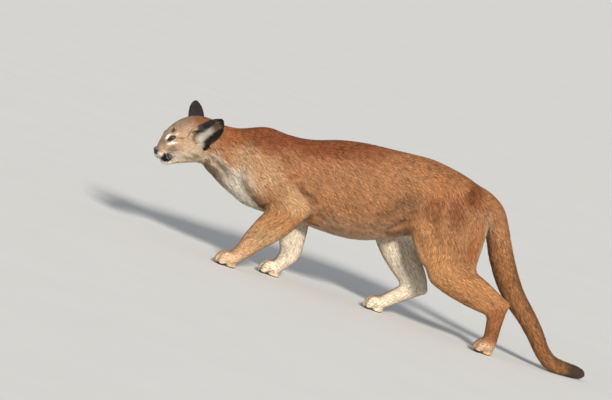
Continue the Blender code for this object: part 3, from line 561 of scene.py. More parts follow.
def with_lips(points, normals):
    """The line of the mouth, full lips above and below it, the cleft under the nose and the whisker pads."""
    local = to_head(points)
    gap, shown = mouth_gap(local)
    lift = -0.0042 * np.exp(-((gap / 0.0011) ** 2)) * shown
    lift += 0.0013 * np.exp(-(((gap - 0.0050) / 0.0036) ** 2)) * shown
    lift += 0.0006 * np.exp(-(((gap + 0.0036) / 0.0022) ** 2)) * shown
    for centre, radii, rise in FACE_SWELLS:
        q = np.stack([local[:, 0], np.abs(local[:, 1]), local[:, 2]], axis=1) - np.array(centre)
        lift += rise * np.exp(-((q / np.array(radii)) ** 2).sum(1)) * (local[:, 0] < 0.0)
    front = step(-0.120, -0.132, local[:, 0])
    cleft = np.exp(-((local[:, 1] / 0.0011) ** 2)) * step(-0.0635, -0.0600, local[:, 2]) * front
    lift -= 0.0022 * cleft * step(-0.040, -0.046, local[:, 2])
    for row in range(4):
        rows = np.exp(-(((gap - 0.0070 - 0.0052 * row) / 0.0011) ** 2))
        lift -= 0.00035 * rows * step(-0.085, -0.105, local[:, 0]) * step(0.010, 0.018, np.abs(local[:, 1]))
    return points + normals * lift[:, None]


def skin_arrays():
    """Points and triangles of the whole skin, ears included, and each point's region."""
    data = remeshed(FLESH + ("eye_left", "eye_right"), BODY_VOXEL, JOIN, "flesh")
    points, faces = arrays_of(data)
    edges = edges_of(faces)
    body, local = to_body(points), to_head(points)
    head = on_head(points) * step(0.045, 0.010, local[:, 0])
    paw = step(0.10, 0.06, body[:, 2]) * (body[:, 0] < 0.95)
    trunk = step(0.17, 0.26, body[:, 2]) * (1 - head) * (body[:, 0] < 0.76)
    points = relaxed(points, edges, 3)
    points = relaxed(points, edges, 7, 1 - np.maximum(0.7 * head, paw))
    points = relaxed(points, edges, 26, trunk)
    data.vertices.foreach_set("co", points.astype(np.float32).ravel())
    refined(data, on_head)
    points, faces = arrays_of(data)
    points = relaxed(points, edges_of(faces), 3, on_head(points) * 1.0)
    data.vertices.foreach_set("co", points.astype(np.float32).ravel())
    refined(data, on_features)
    points, faces = arrays_of(data)
    bpy.data.meshes.remove(data)
    points = relaxed(points, edges_of(faces), 3, on_features(points) * 1.0)
    region = regions_of(points)
    region = np.where(in_region(region, *EARS), REGIONS.index("head"), region)
    normals = normals_of(points, faces)
    points = with_folds(points, normals)
    points = points - normals * coat_depth(points, normals, region)[:, None]
    points = with_lids(with_lips(points, normals))
    for name in EARS:
        ear_points, ear_faces = ear_arrays(name)
        region = np.concatenate([region, np.full(len(ear_points), REGIONS.index(name))])
        faces = np.concatenate([faces, ear_faces + len(points)])
        points = np.concatenate([points, ear_points])
    return points, faces, region


def ear_arrays(name):
    """A smooth ear whose base runs on into the head."""
    data = remeshed((name,), EAR_VOXEL, 0.0, name)
    points, faces = arrays_of(data)
    bpy.data.meshes.remove(data)
    points = relaxed(points, edges_of(faces), 5)
    base, tip, _, _ = (np.array(v) for v in ear_axes(name))
    head, head_faces = arrays_of(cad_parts["head"].data)
    tree = BVHTree.FromPolygons(head.tolist(), head_faces.tolist())
    off = np.array([tree.find_nearest(p)[3] for p in points.tolist()])
    return points - tip * (EAR_ROOT_DEPTH * step(0.007, 0.0005, off))[:, None], faces


def lie_of(points, normals, region, faces):
    """The direction in which the coat lies, along the skin."""
    lie = np.tile(np.array((1.0, 0.0, -0.12)), (len(points), 1))
    body, local = to_body(points), to_head(points)
    side = np.sign(body[:, 1])
    for name, line in LINES.items():
        here = in_region(region, name)
        if name in ("torso", "neck", "head") or not here.any():
            continue
        lie[here] = polyline_spot(points[here], line)[1]
    trunk = in_region(region, "torso", "neck")
    down = step(0.0, 0.9, np.abs(normals[:, 1]))
    lie[trunk, 2] -= (0.35 * down)[trunk]
    upper = in_region(region, *LEG_LINES) * step(0.24, 0.34, body[:, 2])
    lie += upper[:, None] * np.array((0.9, 0.0, -0.4))
    head = in_region(region, "head")
    cheek = step(0.02, 0.06, np.abs(local[:, 1])) * step(0.03, -0.05, local[:, 2])
    muzzle = step(-0.10, -0.13, local[:, 0])
    flow = np.stack([
        np.ones(len(points)),
        0.25 * side * (1 + muzzle),
        -0.05 - 0.45 * cheek - 0.5 * muzzle * (local[:, 2] < -0.045),
    ], axis=1)
    lie[head] = (flow @ HEAD_AXES.T)[head]
    lie = unit(lie)
    edges = edges_of(faces)
    for _ in range(4):
        lie = relaxed(lie, edges, 6)
        lie = unit(lie - normals * (lie * normals).sum(1, keepdims=True))
    return lie


def mixed(base, colour, share):
    return base + (np.array(colour) - base) * share[:, None]


PATCH_WAVES = 14


def patches(points, size, seed):
    """Smooth patches of light and dark, about 1 either way, of about the given size."""
    draw = np.random.default_rng(seed)
    total = np.zeros(len(points))
    for _ in range(PATCH_WAVES):
        wave = unit(draw.normal(size=3)) * 2 * math.pi / (size * draw.uniform(0.7, 1.6))
        total += np.sin(points @ wave + draw.uniform(0, 6.3))
    return total / math.sqrt(PATCH_WAVES)


def spot(local, centre, radii, lean=0.0, soft=0.35):
    """1 inside an oval on both sides of the head, fading over its ragged edge. A lean tips its rear end up."""
    q = np.stack([local[:, 0], np.abs(local[:, 1]), local[:, 2]], axis=1) - np.array(centre)
    c, s = math.cos(math.radians(lean)), math.sin(math.radians(lean))
    q = np.stack([q[:, 0] * c + q[:, 2] * s, q[:, 1], q[:, 2] * c - q[:, 0] * s], axis=1)
    ragged = 0.40 * soft * patches(local, 0.0055, 7) + 0.25 * soft * patches(local, 0.013, 14)
    return step(1 + soft, 1 - soft, np.linalg.norm(q / np.array(radii), axis=1) + ragged)


def head_colours(local, normals, colour):
    """The markings of the face and a painted highlight on the forehead, by places in the head's frame."""
    x, y, z = local[:, 0], np.abs(local[:, 1]), local[:, 2]
    gap, shown = mouth_gap(local)
    face = step(0.055, -0.015, x)
    colour = mixed(colour, FACE, face)
    colour = mixed(colour, FOREHEAD, face * step(0.015, 0.040, z) * step(0.055, 0.030, y))
    colour = mixed(colour, RUFOUS, 0.85 * step(-0.055, 0.010, x) * step(0.025, 0.050, z))
    colour = mixed(colour, SADDLE, 0.45 * step(-0.045, 0.010, x) * step(0.035, 0.060, z))
    colour = mixed(colour, CREAM, 0.70 * step(-0.030, -0.060, z) * face)
    for centre, radii, lean, tone, strength in FACE_MARKS:
        colour = mixed(colour, tone, strength * spot(local, centre, radii, lean, 0.18 if tone is BLACK else 0.42))
    lips = np.exp(-(((gap + 0.0012) / 0.0022) ** 2)) * shown * step(0.004, 0.016, y)
    colour = mixed(colour, BLACK, 0.92 * lips)
    for name in EARS:
        colour = mixed_cup(colour, local, name)
    for s in (-1, 1):
        centre, out, up, ahead = (np.array(v) for v in eye_axes(s))
        q = local - centre
        u, v = q @ out, q @ up
        near = (np.linalg.norm(q, axis=1) < 0.030) & (q @ ahead > 0)
        outline = almond_edge(s)
        d = np.full(len(local), 1.0)
        d[near] = np.sqrt(((np.c_[u, v][near][:, None] - outline[None]) ** 2).sum(2)).min(1)
        colour = mixed(colour, BLACK, 0.95 * step(0.0042, 0.0018, d))
        tear = np.exp(-(((v + 0.35 * (u + 0.0125) + 0.0035) / 0.0020) ** 2))
        tear *= step(-0.0245, -0.0150, u) * step(-0.0075, -0.0115, u) * near
        colour = mixed(colour, BLACK, 0.85 * tear)
    return colour


def ear_places(points, name):
    """Places in an ear's own frame: across it from the front rim to the rear one, out of the cup, and along."""
    base, tip, opening, across = (np.array(v) for v in ear_axes(name))
    q = points - base
    rearward = 1.0 if name == "ear_left" else -1.0
    return q @ across * rearward, q @ opening, q @ tip


# The pale line along the front rim of an ear: its place across at the base, and how it moves with the reach
RIM_START = -0.037
RIM_LEAN = 0.49


def cup_colours(wide, along):
    """Inside of an ear: black over the pale line of the front rim, pale hair, grey, then a black rear rim."""
    past = wide - RIM_START - RIM_LEAN * along
    cup = np.tile(np.array(GREY_BROWN), (len(wide), 1))
    cup = mixed(cup, SMOKE, 0.70 * step(0.030, 0.060, along))
    pale = step(0.026, 0.010, np.abs(wide - 0.008)) * step(0.058, 0.026, along)
    cup = mixed(cup, WHITE, 0.75 * pale)
    cup = mixed(cup, WHITE, 0.90 * step(0.0030, 0.0010, np.abs(past)) * step(0.005, 0.020, along))
    cup = mixed(cup, BLACK, 0.95 * step(-0.0015, -0.0040, past) * step(0.010, 0.030, along))
    cup = mixed(cup, FACE, 0.90 * step(-0.016, -0.026, wide) * step(0.030, 0.012, along))
    return mixed(cup, BLACK, 0.95 * np.maximum(step(0.025, 0.032, wide), step(0.070, 0.086, along)))


def mixed_cup(colour, local, name):
    """Carries an ear's inner colours over the part of the head that its opening shows."""
    points = local @ HEAD_AXES.T + HEAD_SPOT
    wide, out, along = ear_places(points, name)
    inner = step(0.046, 0.036, np.abs(wide)) * step(-0.022, -0.008, along) * step(0.060, 0.050, along)
    inner *= step(-0.030, -0.020, out) * step(0.030, 0.020, out)
    return colour + (cup_colours(wide, along) - colour) * inner[:, None]


def ear_colours(points, normals, name, root_colour):
    """Black backs, the head's own colours at the root, and the inner colours of the cup."""
    base, tip, opening, across = (np.array(v) for v in ear_axes(name))
    wide, out, along = ear_places(points, name)
    share = along / EAR_LENGTH
    inward = unit(base + tip * along[:, None] + opening * 0.010 - points)
    inside = step(-0.10, 0.25, (normals * inward).sum(1))
    back = np.tile(np.array(EAR_BACK), (len(points), 1))
    back = mixed(back, BLACK, 0.5 * step(0.25, 0.50, share))
    found = back + (cup_colours(wide, along) - back) * inside[:, None]
    root = step(0.36, 0.12, share + 0.05 * patches(points, 0.010, 15)) * np.maximum(1 - inside, step(-0.012, -0.024, wide))
    return found + (root_colour - found) * root[:, None]


def side_mark(body, place, sizes, lean):
    """1 inside an oval of the side, fading over a wide, ragged edge."""
    q = body[:, [0, 2]] - np.array(place)
    c, s = math.cos(math.radians(lean)), math.sin(math.radians(lean))
    q = np.stack([q[:, 0] * c + q[:, 1] * s, q[:, 1] * c - q[:, 0] * s], axis=1) / np.array(sizes)
    return step(1.5, 0.4, np.linalg.norm(q, axis=1) + 0.12 * patches(body, 0.030, 9) + 0.08 * patches(body, 0.011, 10))


def side_stripe(body, line, half):
    """1 along a line of the side, fading over its ragged edge."""
    path = np.array([(a, 0.0, b) for a, b in line])
    flat = np.c_[body[:, 0], np.zeros(len(body)), body[:, 2]]
    near, _, share = polyline_spot(flat, path)
    off = np.linalg.norm(flat - near, axis=1) / half + 0.15 * patches(body, 0.012, 13)
    return step(1.6, 0.3, off) * step(0.0, 0.12, share) * step(1.0, 0.88, share)


def colours_of(points, normals, region):
    """The markings of the whole animal, with painted shade in its creases and hollows and under the neck, and painted
    light on the neck and forehead, shared by the skin and the coat.
    """
    body, local = to_body(points), to_head(points)
    x, y, z = body.T
    up, side = normals[:, 2], np.abs(normals[:, 1])
    colour = np.tile(np.array(TAN), (len(points), 1))
    trunk = in_region(region, "torso", "neck")
    back = step(0.25, 0.80, up) * (x < 0.76)
    colour = mixed(colour, SADDLE, 0.85 * back * step(0.45, 0.18, x))
    colour = mixed(colour, RUFOUS, 0.35 * back * step(0.30, 0.60, x))
    for place, sizes, lean, tone, strength in MARKS:
        colour = mixed(colour, tone, strength * side_mark(body, place, sizes, lean) * step(-0.5, 0.2, up + side))
    for line, half, tone, strength in STRIPES:
        colour = mixed(colour, tone, strength * side_stripe(body, line, half) * step(0.1, 0.5, side))
    colour = mixed(colour, CREAM, 0.35 * step(-0.45, -0.90, up) * trunk)
    throat = step(0.02, -0.10, x) * step(-0.05, -0.50, up + 0.35 * normals[:, 0])
    colour = mixed(colour, CREAM, 0.85 * throat)
    # Painted shade: the underside of the neck and the front of the chest, where they face down and forward, are
    # darkened with smoke grey.
    colour = mixed(colour, SMOKE, 0.85 * step(-0.20, -0.55, up + 0.25 * normals[:, 0]) * step(-0.02, -0.09, x) * trunk)
    chest = step(0.04, -0.04, x) * step(-0.20, -0.11, x) * step(0.345, 0.285, z) * trunk
    colour = mixed(colour, CREAM, 0.85 * chest)
    colour = mixed(colour, WHITE, 0.35 * chest)
    legs = in_region(region, *LEG_LINES)
    inner = legs * step(-0.05, -0.6, normals[:, 1] * np.sign(y))
    front = in_region(region, "foreleg_left", "foreleg_right")
    colour = mixed(colour, GOLD, 0.60 * legs * step(0.32, 0.20, z))
    colour = mixed(colour, SAND, 0.55 * front * step(0.22, 0.12, z))
    colour = mixed(colour, CREAM, 0.92 * inner)
    colour = mixed(colour, WHITE, 0.15 * inner)
    colour = mixed(colour, CREAM, 0.40 * legs * step(0.075, 0.020, z))
    colour = mixed(colour, SADDLE, 0.60 * legs * step(0.80, 0.87, x) * step(0.21, 0.14, z) * step(0.02, 0.06, z))
    colour = mixed(colour, DARK, legs * step(-0.55, -0.85, up) * step(0.022, 0.010, z))
    seam = in_region(region, "hindleg_left", "hindleg_right") * step(0.55, 0.85, normals[:, 0])
    colour = mixed(colour, SAND, 0.55 * seam * step(0.20, 0.27, z))
    tail = in_region(region, "tail_upper", "tail_middle", "tail_tip") * step(0.405, 0.300, z)
    colour = mixed(colour, TAIL_SIDE, tail)
    colour = mixed(colour, UMBER, 0.60 * tail * step(-0.1, 0.9, patches(body, 0.008, 12)))
    rear = step(0.2, 0.9, normals[:, 0] * 0.6 + up * 0.8)
    colour = mixed(colour, TAIL_TOP, 0.75 * tail * rear)
    colour = mixed(colour, TAIL_END, 0.92 * tail * step(1.135, 1.185, x))
    head = in_region(region, "head")
    if head.any():
        colour[head] = head_colours(local[head], normals[head], colour[head])
    for name in EARS:
        here = in_region(region, name)
        if here.any():
            root_colour = head_colours(local[here], normals[here], colour[here])
            colour[here] = ear_colours(points[here], normals[here], name, root_colour)
    shade = 1 + 0.06 * patches(points, 0.070, 3) + 0.10 * patches(points, 0.020, 4)
    shade += 0.30 * patches(points, 0.0075, 8) * step(-0.10, 0.05, local[:, 0])
    return np.clip(colour * shade[:, None], 0.005, 0.9)


# Each region's tile of the unwrap: left, bottom, width, height
TILES = {
    "torso": (0.005, 0.005, 0.56, 0.42),
    "head": (0.60, 0.005, 0.37, 0.42),
    "foreleg_left": (0.005, 0.45, 0.22, 0.28),
    "foreleg_right": (0.255, 0.45, 0.22, 0.28),
    "hindleg_left": (0.505, 0.45, 0.22, 0.28),
    "hindleg_right": (0.755, 0.45, 0.22, 0.28),
    "neck": (0.005, 0.75, 0.28, 0.24),
    "tail_upper": (0.31, 0.75, 0.13, 0.24),
    "tail_middle": (0.46, 0.75, 0.13, 0.24),
    "tail_tip": (0.61, 0.75, 0.13, 0.24),
    "ear_left": (0.76, 0.75, 0.10, 0.24),
    "ear_right": (0.88, 0.75, 0.10, 0.24),
}
SEAM_ROOM = 0.96


def unwrapped(points, region):
    """Places on an unwrap of the skin: turn round its region's middle line, and reach along it."""
    flat = np.zeros((len(points), 2))
    for name, line in LINES.items():
        here = in_region(region, name)
        if not here.any():
            continue
        spot_, heading, share = polyline_spot(points[here], line)
        off = points[here] - spot_
        across = np.array((0.0, 1.0, 0.0))
        deep = unit(np.cross(heading, across))
        turn = np.arctan2(off @ across, (off * deep).sum(1)) / (2 * math.pi) + 0.5
        low, high = share.min(), share.max()
        flat[here] = np.c_[turn, (share - low) / max(high - low, 1e-6)]
    return flat


def on_tiles(flat, region):
    tiles = np.array([TILES[name] for name in REGIONS])[region]
    return tiles[:, :2] + flat * tiles[:, 2:] * np.array((SEAM_ROOM, 1.0))


def with_map(obj, corners):
    layer = obj.data.uv_layers.new(name="OFBake")
    layer.data.foreach_set("uv", np.asarray(corners, np.float32).ravel())
    return obj


def skin_map(points, faces, region):
    """Corner places on the unwrap, with no face stretched across the seam."""
    owner = region[faces[:, 0]]
    corners = unwrapped(points[faces].reshape(-1, 3), np.repeat(owner, 3)).reshape(-1, 3, 2)
    wide = np.ptp(corners[:, :, 0], axis=1) > 0.5
    corners[wide, :, 0] += corners[wide, :, 0] < 0.5
    return on_tiles(corners.reshape(-1, 2), np.repeat(owner, 3))


def roots_on(points, faces, density):
    """Evenly strewn roots: the face of each, and its place in the face."""
    corner = points[faces]
    area = np.linalg.norm(np.cross(corner[:, 1] - corner[:, 0], corner[:, 2] - corner[:, 0]), axis=1) / 2
    count = np.floor(area * density[faces].mean(1) + rng.random(len(faces))).astype(int)
    face = np.repeat(np.arange(len(faces)), count)
    a, b = rng.random((2, len(face)))
    a = np.sqrt(a)
    share = np.stack([1 - a, a * (1 - b), a * b], axis=1)
    return face, share


def spread(values, faces, face, share):
    """Values of the vertices at places inside faces."""
    return (values[faces[face]] * share[:, :, None]).sum(1)


PATCH = 0.0015


def tufts(roots, normals, lie, size, colours, flat, tree, bent):
    """Points, triangles, colours, normals and map corners of closed, tapered tufts that lie along the skin.
    Size holds each tuft's length, width and height of the tip over the skin. A bent tuft has a middle row."""
    n = len(roots)
    length, width, height = size.T[:, :, None]
    turn = rng.normal(0, 0.16, (n, 1))
    side = unit(np.cross(lie, normals))
    along = unit(lie + side * turn)
    side = unit(np.cross(along, normals))

    def laid(reach, rise):
        if tree is None:
            return roots + along * reach + normals * rise
        aimed = (roots + along * reach).tolist()
        found = [tree.find_nearest(p) for p in aimed]
        place = np.array([f[0] for f in found])
        facing = np.array([f[1] for f in found])
        facing = unit(facing * 0.4 + normals * 0.6)
        return place + facing * rise

    def row(middle, half, ridge):
        return [middle - side * half, middle + side * half, middle + normals * ridge]

    rows = row(roots - normals * 0.0006, width * 0.5, width * 0.35)
    if bent:
        rows += row(laid(length * 0.5, height * 0.55), width * 0.45, width * 0.30)
    rows.append(laid(length, height))
    points = np.stack(rows, axis=1)
    k = points.shape[1]
    faces = [(0, 1, 2)]
    if bent:
        for a, b in ((0, 1), (1, 2), (2, 0)):
            faces += [(a, a + 3, b + 3), (a, b + 3, b)]
    first = k - 4
    for a, b in ((0, 1), (1, 2), (2, 0)):
        faces.append((first + a, k - 1, first + b))
    faces = (np.array(faces)[None] + (np.arange(n) * k)[:, None, None]).reshape(-1, 3)
    tone = np.full(k, 0.80)
    tone[-1] = 1.16
    if bent:
        tone[3:6] = 1.0
    shades = np.clip(colours[:, None] * tone[None, :, None], 0.004, 0.95)
    facing = np.repeat(normals[:, None], k, axis=1)
    facing[:, -1] = unit(normals + along * 0.35)
    for r in range(0, k - 1, 3):
        facing[:, r] = unit(normals - side * 0.45)
        facing[:, r + 1] = unit(normals + side * 0.45)
    offsets = np.zeros((k, 2))
    for r in range(0, k - 1, 3):
        offsets[r : r + 3] = ((-PATCH, -PATCH), (PATCH, -PATCH), (0.0, -0.4 * PATCH))
    if bent:
        offsets[3:6] += (0.0, 0.7 * PATCH)
    offsets[-1] = (0.0, PATCH)
    corners = (flat[:, None] + offsets[None]).reshape(-1, 2)[faces.ravel()]
    return points.reshape(-1, 3), faces, shades.reshape(-1, 3), facing.reshape(-1, 3), corners


def principled(name, roughness, specular=0.3, sheen=0.0, coat=0.0):
    """A material whose colour is the piece's own markings. Returns it with its nodes."""
    made = bpy.data.materials.new(name)
    made.use_nodes = True
    nodes, links = made.node_tree.nodes, made.node_tree.links
    shader = nodes["Principled BSDF"]
    shader.inputs["Roughness"].default_value = roughness
    shader.inputs["Specular IOR Level"].default_value = specular
    shader.inputs["Sheen Weight"].default_value = sheen
    shader.inputs["Sheen Roughness"].default_value = 0.5
    shader.inputs["Coat Weight"].default_value = coat
    shader.inputs["Coat Roughness"].default_value = 0.04
    marks = nodes.new("ShaderNodeVertexColor")
    marks.layer_name = SHOWN_COLOUR
    return made, nodes, links, shader, marks


def noise(nodes, links, scale, detail, stretch=(1, 1, 1)):
    """A noise over the piece's own coordinates, stretched along an axis."""
    place = nodes.new("ShaderNodeTexCoord")
    mapping = nodes.new("ShaderNodeMapping")
    mapping.inputs["Scale"].default_value = stretch
    texture = nodes.new("ShaderNodeTexNoise")
    texture.inputs["Scale"].default_value = scale
    texture.inputs["Detail"].default_value = detail
    links.new(place.outputs["Object"], mapping.inputs["Vector"])
    links.new(mapping.outputs["Vector"], texture.inputs["Vector"])
    return texture


def tinted(nodes, links, marks, texture, low, high):
    """The markings, made a little lighter and darker by a noise."""
    ramp = nodes.new("ShaderNodeMapRange")
    ramp.inputs["From Min"].default_value = 0.3
    ramp.inputs["From Max"].default_value = 0.7
    ramp.inputs["To Min"].default_value = low
    ramp.inputs["To Max"].default_value = high
    links.new(texture.outputs["Fac"], ramp.inputs["Value"])
    scaled = nodes.new("ShaderNodeVectorMath")
    scaled.operation = "SCALE"
    links.new(marks.outputs["Color"], scaled.inputs[0])
    links.new(ramp.outputs["Result"], scaled.inputs["Scale"])
    return scaled.outputs["Vector"]


def bumped(nodes, links, shader, height, strength, distance):
    bump = nodes.new("ShaderNodeBump")
    bump.inputs["Strength"].default_value = strength
    bump.inputs["Distance"].default_value = distance
    links.new(height, bump.inputs["Height"])
    links.new(bump.outputs["Normal"], shader.inputs["Normal"])


def skin_material():
    """Short hair lying flat: streaks along the body, with fine grain."""
    made, nodes, links, shader, marks = principled("short_coat", 0.75, 0.15, 0.05)
    streaks = noise(nodes, links, 260.0, 6.0, (0.35, 1.0, 0.70))
    links.new(tinted(nodes, links, marks, streaks, 0.55, 1.34), shader.inputs["Base Color"])
    bumped(nodes, links, shader, streaks.outputs["Fac"], 0.8, 0.005)
    return made


def tuft_material():
    made, nodes, links, shader, marks = principled("tufts", 0.68, 0.15, 0.05)
    grain = noise(nodes, links, 420.0, 2.0)
    links.new(tinted(nodes, links, marks, grain, 0.86, 1.14), shader.inputs["Base Color"])
    return made


def shaggy(body):
    """1 along the low side behind the elbow and in the groin, where the coat is long."""
    x, z = body[:, 0], body[:, 2]
    top = 0.262 + 0.10 * np.clip(x - 0.10, 0.0, 0.4)
    return step(top + 0.020, top - 0.010, z) * step(0.11, 0.17, x) * step(0.54, 0.47, x)


def tuft_sizes(points, normals, region):
    """Length, width, height and number for each square metre of the tufts at each vertex."""
    body, local = to_body(points), to_head(points)
    n = len(points)
    length, width = np.full(n, 0.0150), np.full(n, 0.0022)
    height, density = np.full(n, 0.0030), np.full(n, 150000.0)
    trunk = in_region(region, "torso", "neck")
    under = trunk * step(-0.15, -0.65, normals[:, 2])
    length += 0.0070 * under
    height += 0.0025 * under
    fringe = trunk * shaggy(body)
    length += 0.0100 * fringe
    height += 0.0035 * fringe
    width += 0.0004 * fringe
    throat = step(-0.02, -0.14, body[:, 0]) * step(0.2, -0.4, normals[:, 2]) * trunk
    length += 0.0040 * throat
    legs = in_region(region, *LEG_LINES)
    low = step(0.28, 0.10, body[:, 2]) * legs
    length -= 0.0055 * low
    width -= 0.0008 * low
    height -= 0.0014 * low
    density += 90000.0 * low
    paw = step(0.075, 0.045, body[:, 2]) * legs
    length -= 0.0032 * paw
    width -= 0.0004 * paw
    height -= 0.0008 * paw
    density += 120000.0 * paw
    density = np.where(legs & (normals[:, 2] < -0.75) & (body[:, 2] < 0.012), 0.0, density)
    tail = in_region(region, "tail_upper", "tail_middle", "tail_tip") * step(0.70, 0.80, body[:, 0])
    length += 0.0050 * tail
    height += 0.0018 * tail
    head = in_region(region, "head")
    back = step(-0.135, 0.020, local[:, 0])
    length = np.where(head, 0.0038 + 0.0085 * back, length)
    width = np.where(head, 0.00085 + 0.0008 * back, width)
    height = np.where(head, 0.0006 + 0.0018 * back, height)
    density = np.where(head, 620000.0 - 380000.0 * back, density)
    for s in (-1, 1):
        away = np.linalg.norm(local - np.array(mirrored(EYE_CENTRE, s)), axis=1)
        length *= 1 - 0.35 * head * step(0.032, 0.018, away)
    ruff = head * step(-0.02, 0.03, local[:, 0]) * step(0.01, -0.04, local[:, 2])
    length += 0.0050 * ruff
    height += 0.0014 * ruff
    ears = in_region(region, *EARS)
    length = np.where(ears, 0.0062, length)
    width = np.where(ears, 0.0010, width)
    height = np.where(ears, 0.0009, height)
    density = np.where(ears, 520000.0, density)
    return np.stack([length, width, height, density], axis=1)


def bare(points, normals, region):
    """1 where no tuft grows: the lids' edges, the mouth line, under the nose pad and inside the eye openings."""
    local = to_head(points)
    gap, shown = mouth_gap(local)
    share = shown * step(0.0030, 0.0016, np.abs(gap + 0.0006))
    for s in (-1, 1):
        centre, out, up, ahead = (np.array(v) for v in eye_axes(s))
        q = local - centre
        near = (np.linalg.norm(q, axis=1) < 0.030) & (q @ ahead > 0)
        d = np.full(len(local), 1.0)
        outline = almond_edge(s)
        d[near] = np.sqrt(((np.c_[q @ out, q @ up][near][:, None] - outline[None]) ** 2).sum(2)).min(1)
        share = np.maximum(share, step(0.0052, 0.0034, d))
        half, upper, lower = EYE_OPENING
        share = np.maximum(share, near & (np.abs(q @ out) < half) & (np.abs(q @ up) < lower))
    nose = np.linalg.norm((local - np.array((-0.139, 0, -0.040))) / np.array((0.014, 0.019, 0.016)), axis=1)
    share = np.maximum(share, step(1.05, 0.95, nose))
    return np.where(in_region(region, "head"), share, 0.0)


THINNER = 1.0
MOST_TUFTS = {False: 49000, True: 19900}


def grow_coat(points, faces, normals, region, lie):
    """All coat pieces, each under 200,000 triangles."""
    tree = BVHTree.FromPolygons(points.tolist(), faces.tolist())
    size = tuft_sizes(points, normals, region)
    density = size[:, 3] * (1 - bare(points, normals, region)) * THINNER
    face, share = roots_on(points, faces, density)
    owner = region[faces[face, 0]]
    root = spread(points, faces, face, share)
    facing = unit(spread(normals, faces, face, share))
    along = spread(lie, faces, face, share)
    along = unit(along - facing * (along * facing).sum(1, keepdims=True))
    dims = spread(size[:, :3], faces, face, share) * rng.uniform(0.75, 1.25, (len(root), 3))
    colour = colours_of(root, facing, owner)
    grey = rng.random(len(root))
    tone = rng.normal(1.0, 0.16, len(root)) * np.where(grey < 0.16, 0.56, 1.0) * np.where(grey > 0.88, 1.36, 1.0)
    colour = colour * np.clip(tone, 0.5, 1.5)[:, None]
    flat = on_tiles(unwrapped(root, owner), owner)
    body = to_body(root)
    trunk = in_region(owner, "torso", "neck")
    long_hair = in_region(owner, "tail_upper", "tail_middle", "tail_tip") & (body[:, 0] > 0.76)
    long_hair |= trunk & ((facing[:, 2] < -0.30) | (shaggy(body) > 0.3))
    material = tuft_material()
    groups = {
        "coat_head": (in_region(owner, "head"), False),
        "coat_ears": (in_region(owner, *EARS), False),
        "coat_long": (long_hair, True),
        "coat_trunk": (trunk & ~long_hair, False),
        "coat_limbs": (in_region(owner, *LEG_LINES, "tail_upper") & ~long_hair, False),
    }
    for name, (mask, bent) in groups.items():
        chosen = np.flatnonzero(mask)
        order = chosen[np.argsort(root[chosen, 0], kind="stable")]
        for i in range(math.ceil(len(order) / MOST_TUFTS[bent])):
            part = order[i * MOST_TUFTS[bent] : (i + 1) * MOST_TUFTS[bent]]
            made = tufts(root[part], facing[part], along[part], dims[part], colour[part], flat[part], tree, bent)
            coat_piece(f"{name}_{i + 1}", made, material)
    return tree


def coat_piece(name, made, material):
    points, faces, shades, facing, corners = made
    points[:, 2] = np.maximum(points[:, 2], 0.0004)
    piece = mesh_object(name, points, faces)
    coloured(piece, shades)
    with_map(piece, corners)
    piece.data.normals_split_custom_set_from_vertices(facing.tolist())
    piece.data.materials.append(material)
    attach(piece, "root")
    return piece


EAR_HAIRS = 5200
EAR_HAIR_REACH = {"ear_left": ((-0.040, 0.042), (-0.022, 0.080)), "ear_right": ((-0.026, 0.026), (0.004, 0.070))}
EAR_HAIR_DEPTH = (-0.034, 0.014)


def ear_hair(tree, material):
    """Long pale hair that grows over each cup from its base and its front rim."""
    for name in EARS:
        base, tip, opening, across = (np.array(v) for v in ear_axes(name))
        n = int(EAR_HAIRS * THINNER)
        rearward = 1.0 if name == "ear_left" else -1.0
        sides, reach = EAR_HAIR_REACH[name]
        wide = rng.uniform(*sides, n)
        up = reach[0] + (reach[1] - reach[0]) * rng.random(n) ** 1.4
        starts = base + tip * up[:, None] + across * (wide * rearward)[:, None] + opening * 0.06
        hits = [tree.ray_cast(Vector(p), Vector(-opening), 0.12) for p in starts.tolist()]
        low, high = EAR_HAIR_DEPTH
        held = np.array([
            h[0] is not None and h[1].dot(Vector(opening)) > 0.05 and low < (h[0] - Vector(base)).dot(Vector(opening)) < high
            for h in hits
        ])
        held &= ~((wide < -0.014) & (up < 0.034))
        roots = np.array([h[0] for h, kept in zip(hits, held) if kept])
        normals = np.array([h[1] for h, kept in zip(hits, held) if kept])
        wide, up, n = wide[held], up[held], int(held.sum())
        front = step(0.024, -0.010, wide)[:, None]
        fan = across * rearward * rng.uniform(0.0, 0.8, (n, 1)) * front
        lean = unit(normals * 0.42 + tip * rng.uniform(0.5, 1.0, (n, 1)) + fan)
        facing = unit(normals - lean * (normals * lean).sum(1, keepdims=True))
        reach = step(0.085, 0.010, up) * (0.55 + 0.45 * front[:, 0])
        size = np.c_[0.007 + rng.uniform(0.008, 0.018, n) * reach, rng.uniform(0.0006, 0.0011, n), 0.0015 * reach]
        colour = cup_colours(wide, up)
        colour *= rng.uniform(0.5, 1.15, (n, 1))
        flat = on_tiles(np.c_[wide / 0.12 + 0.5, up / EAR_LENGTH], np.full(n, REGIONS.index(name)))
        coat_piece(f"hair_in_{name}", tufts(roots, facing, lean, size, colour, flat, None, True), material)


def ball_arrays(centre, axes, radius, around, rings):
    """A sphere whose pole lies along the third axis."""
    turns = np.linspace(0, 2 * math.pi, around, endpoint=False)
    tilts = np.linspace(0, math.pi, rings + 1)[1:-1]
    local = [(0, 0, 1.0)]
    for t in tilts:
        local += [(math.sin(t) * math.cos(a), math.sin(t) * math.sin(a), math.cos(t)) for a in turns]
    local.append((0, 0, -1.0))
    faces = []
    for i in range(around):
        j = (i + 1) % around
        faces.append((0, 1 + i, 1 + j))
        for r in range(rings - 2):
            a, b = 1 + r * around, 1 + (r + 1) * around
            faces += [(a + i, b + i, b + j), (a + i, b + j, a + j)]
        a = 1 + (rings - 2) * around
        faces.append((a + i, len(local) - 1, a + j))
    local = np.array(local)
    return local, centre + (local * radius) @ axes, np.array(faces)


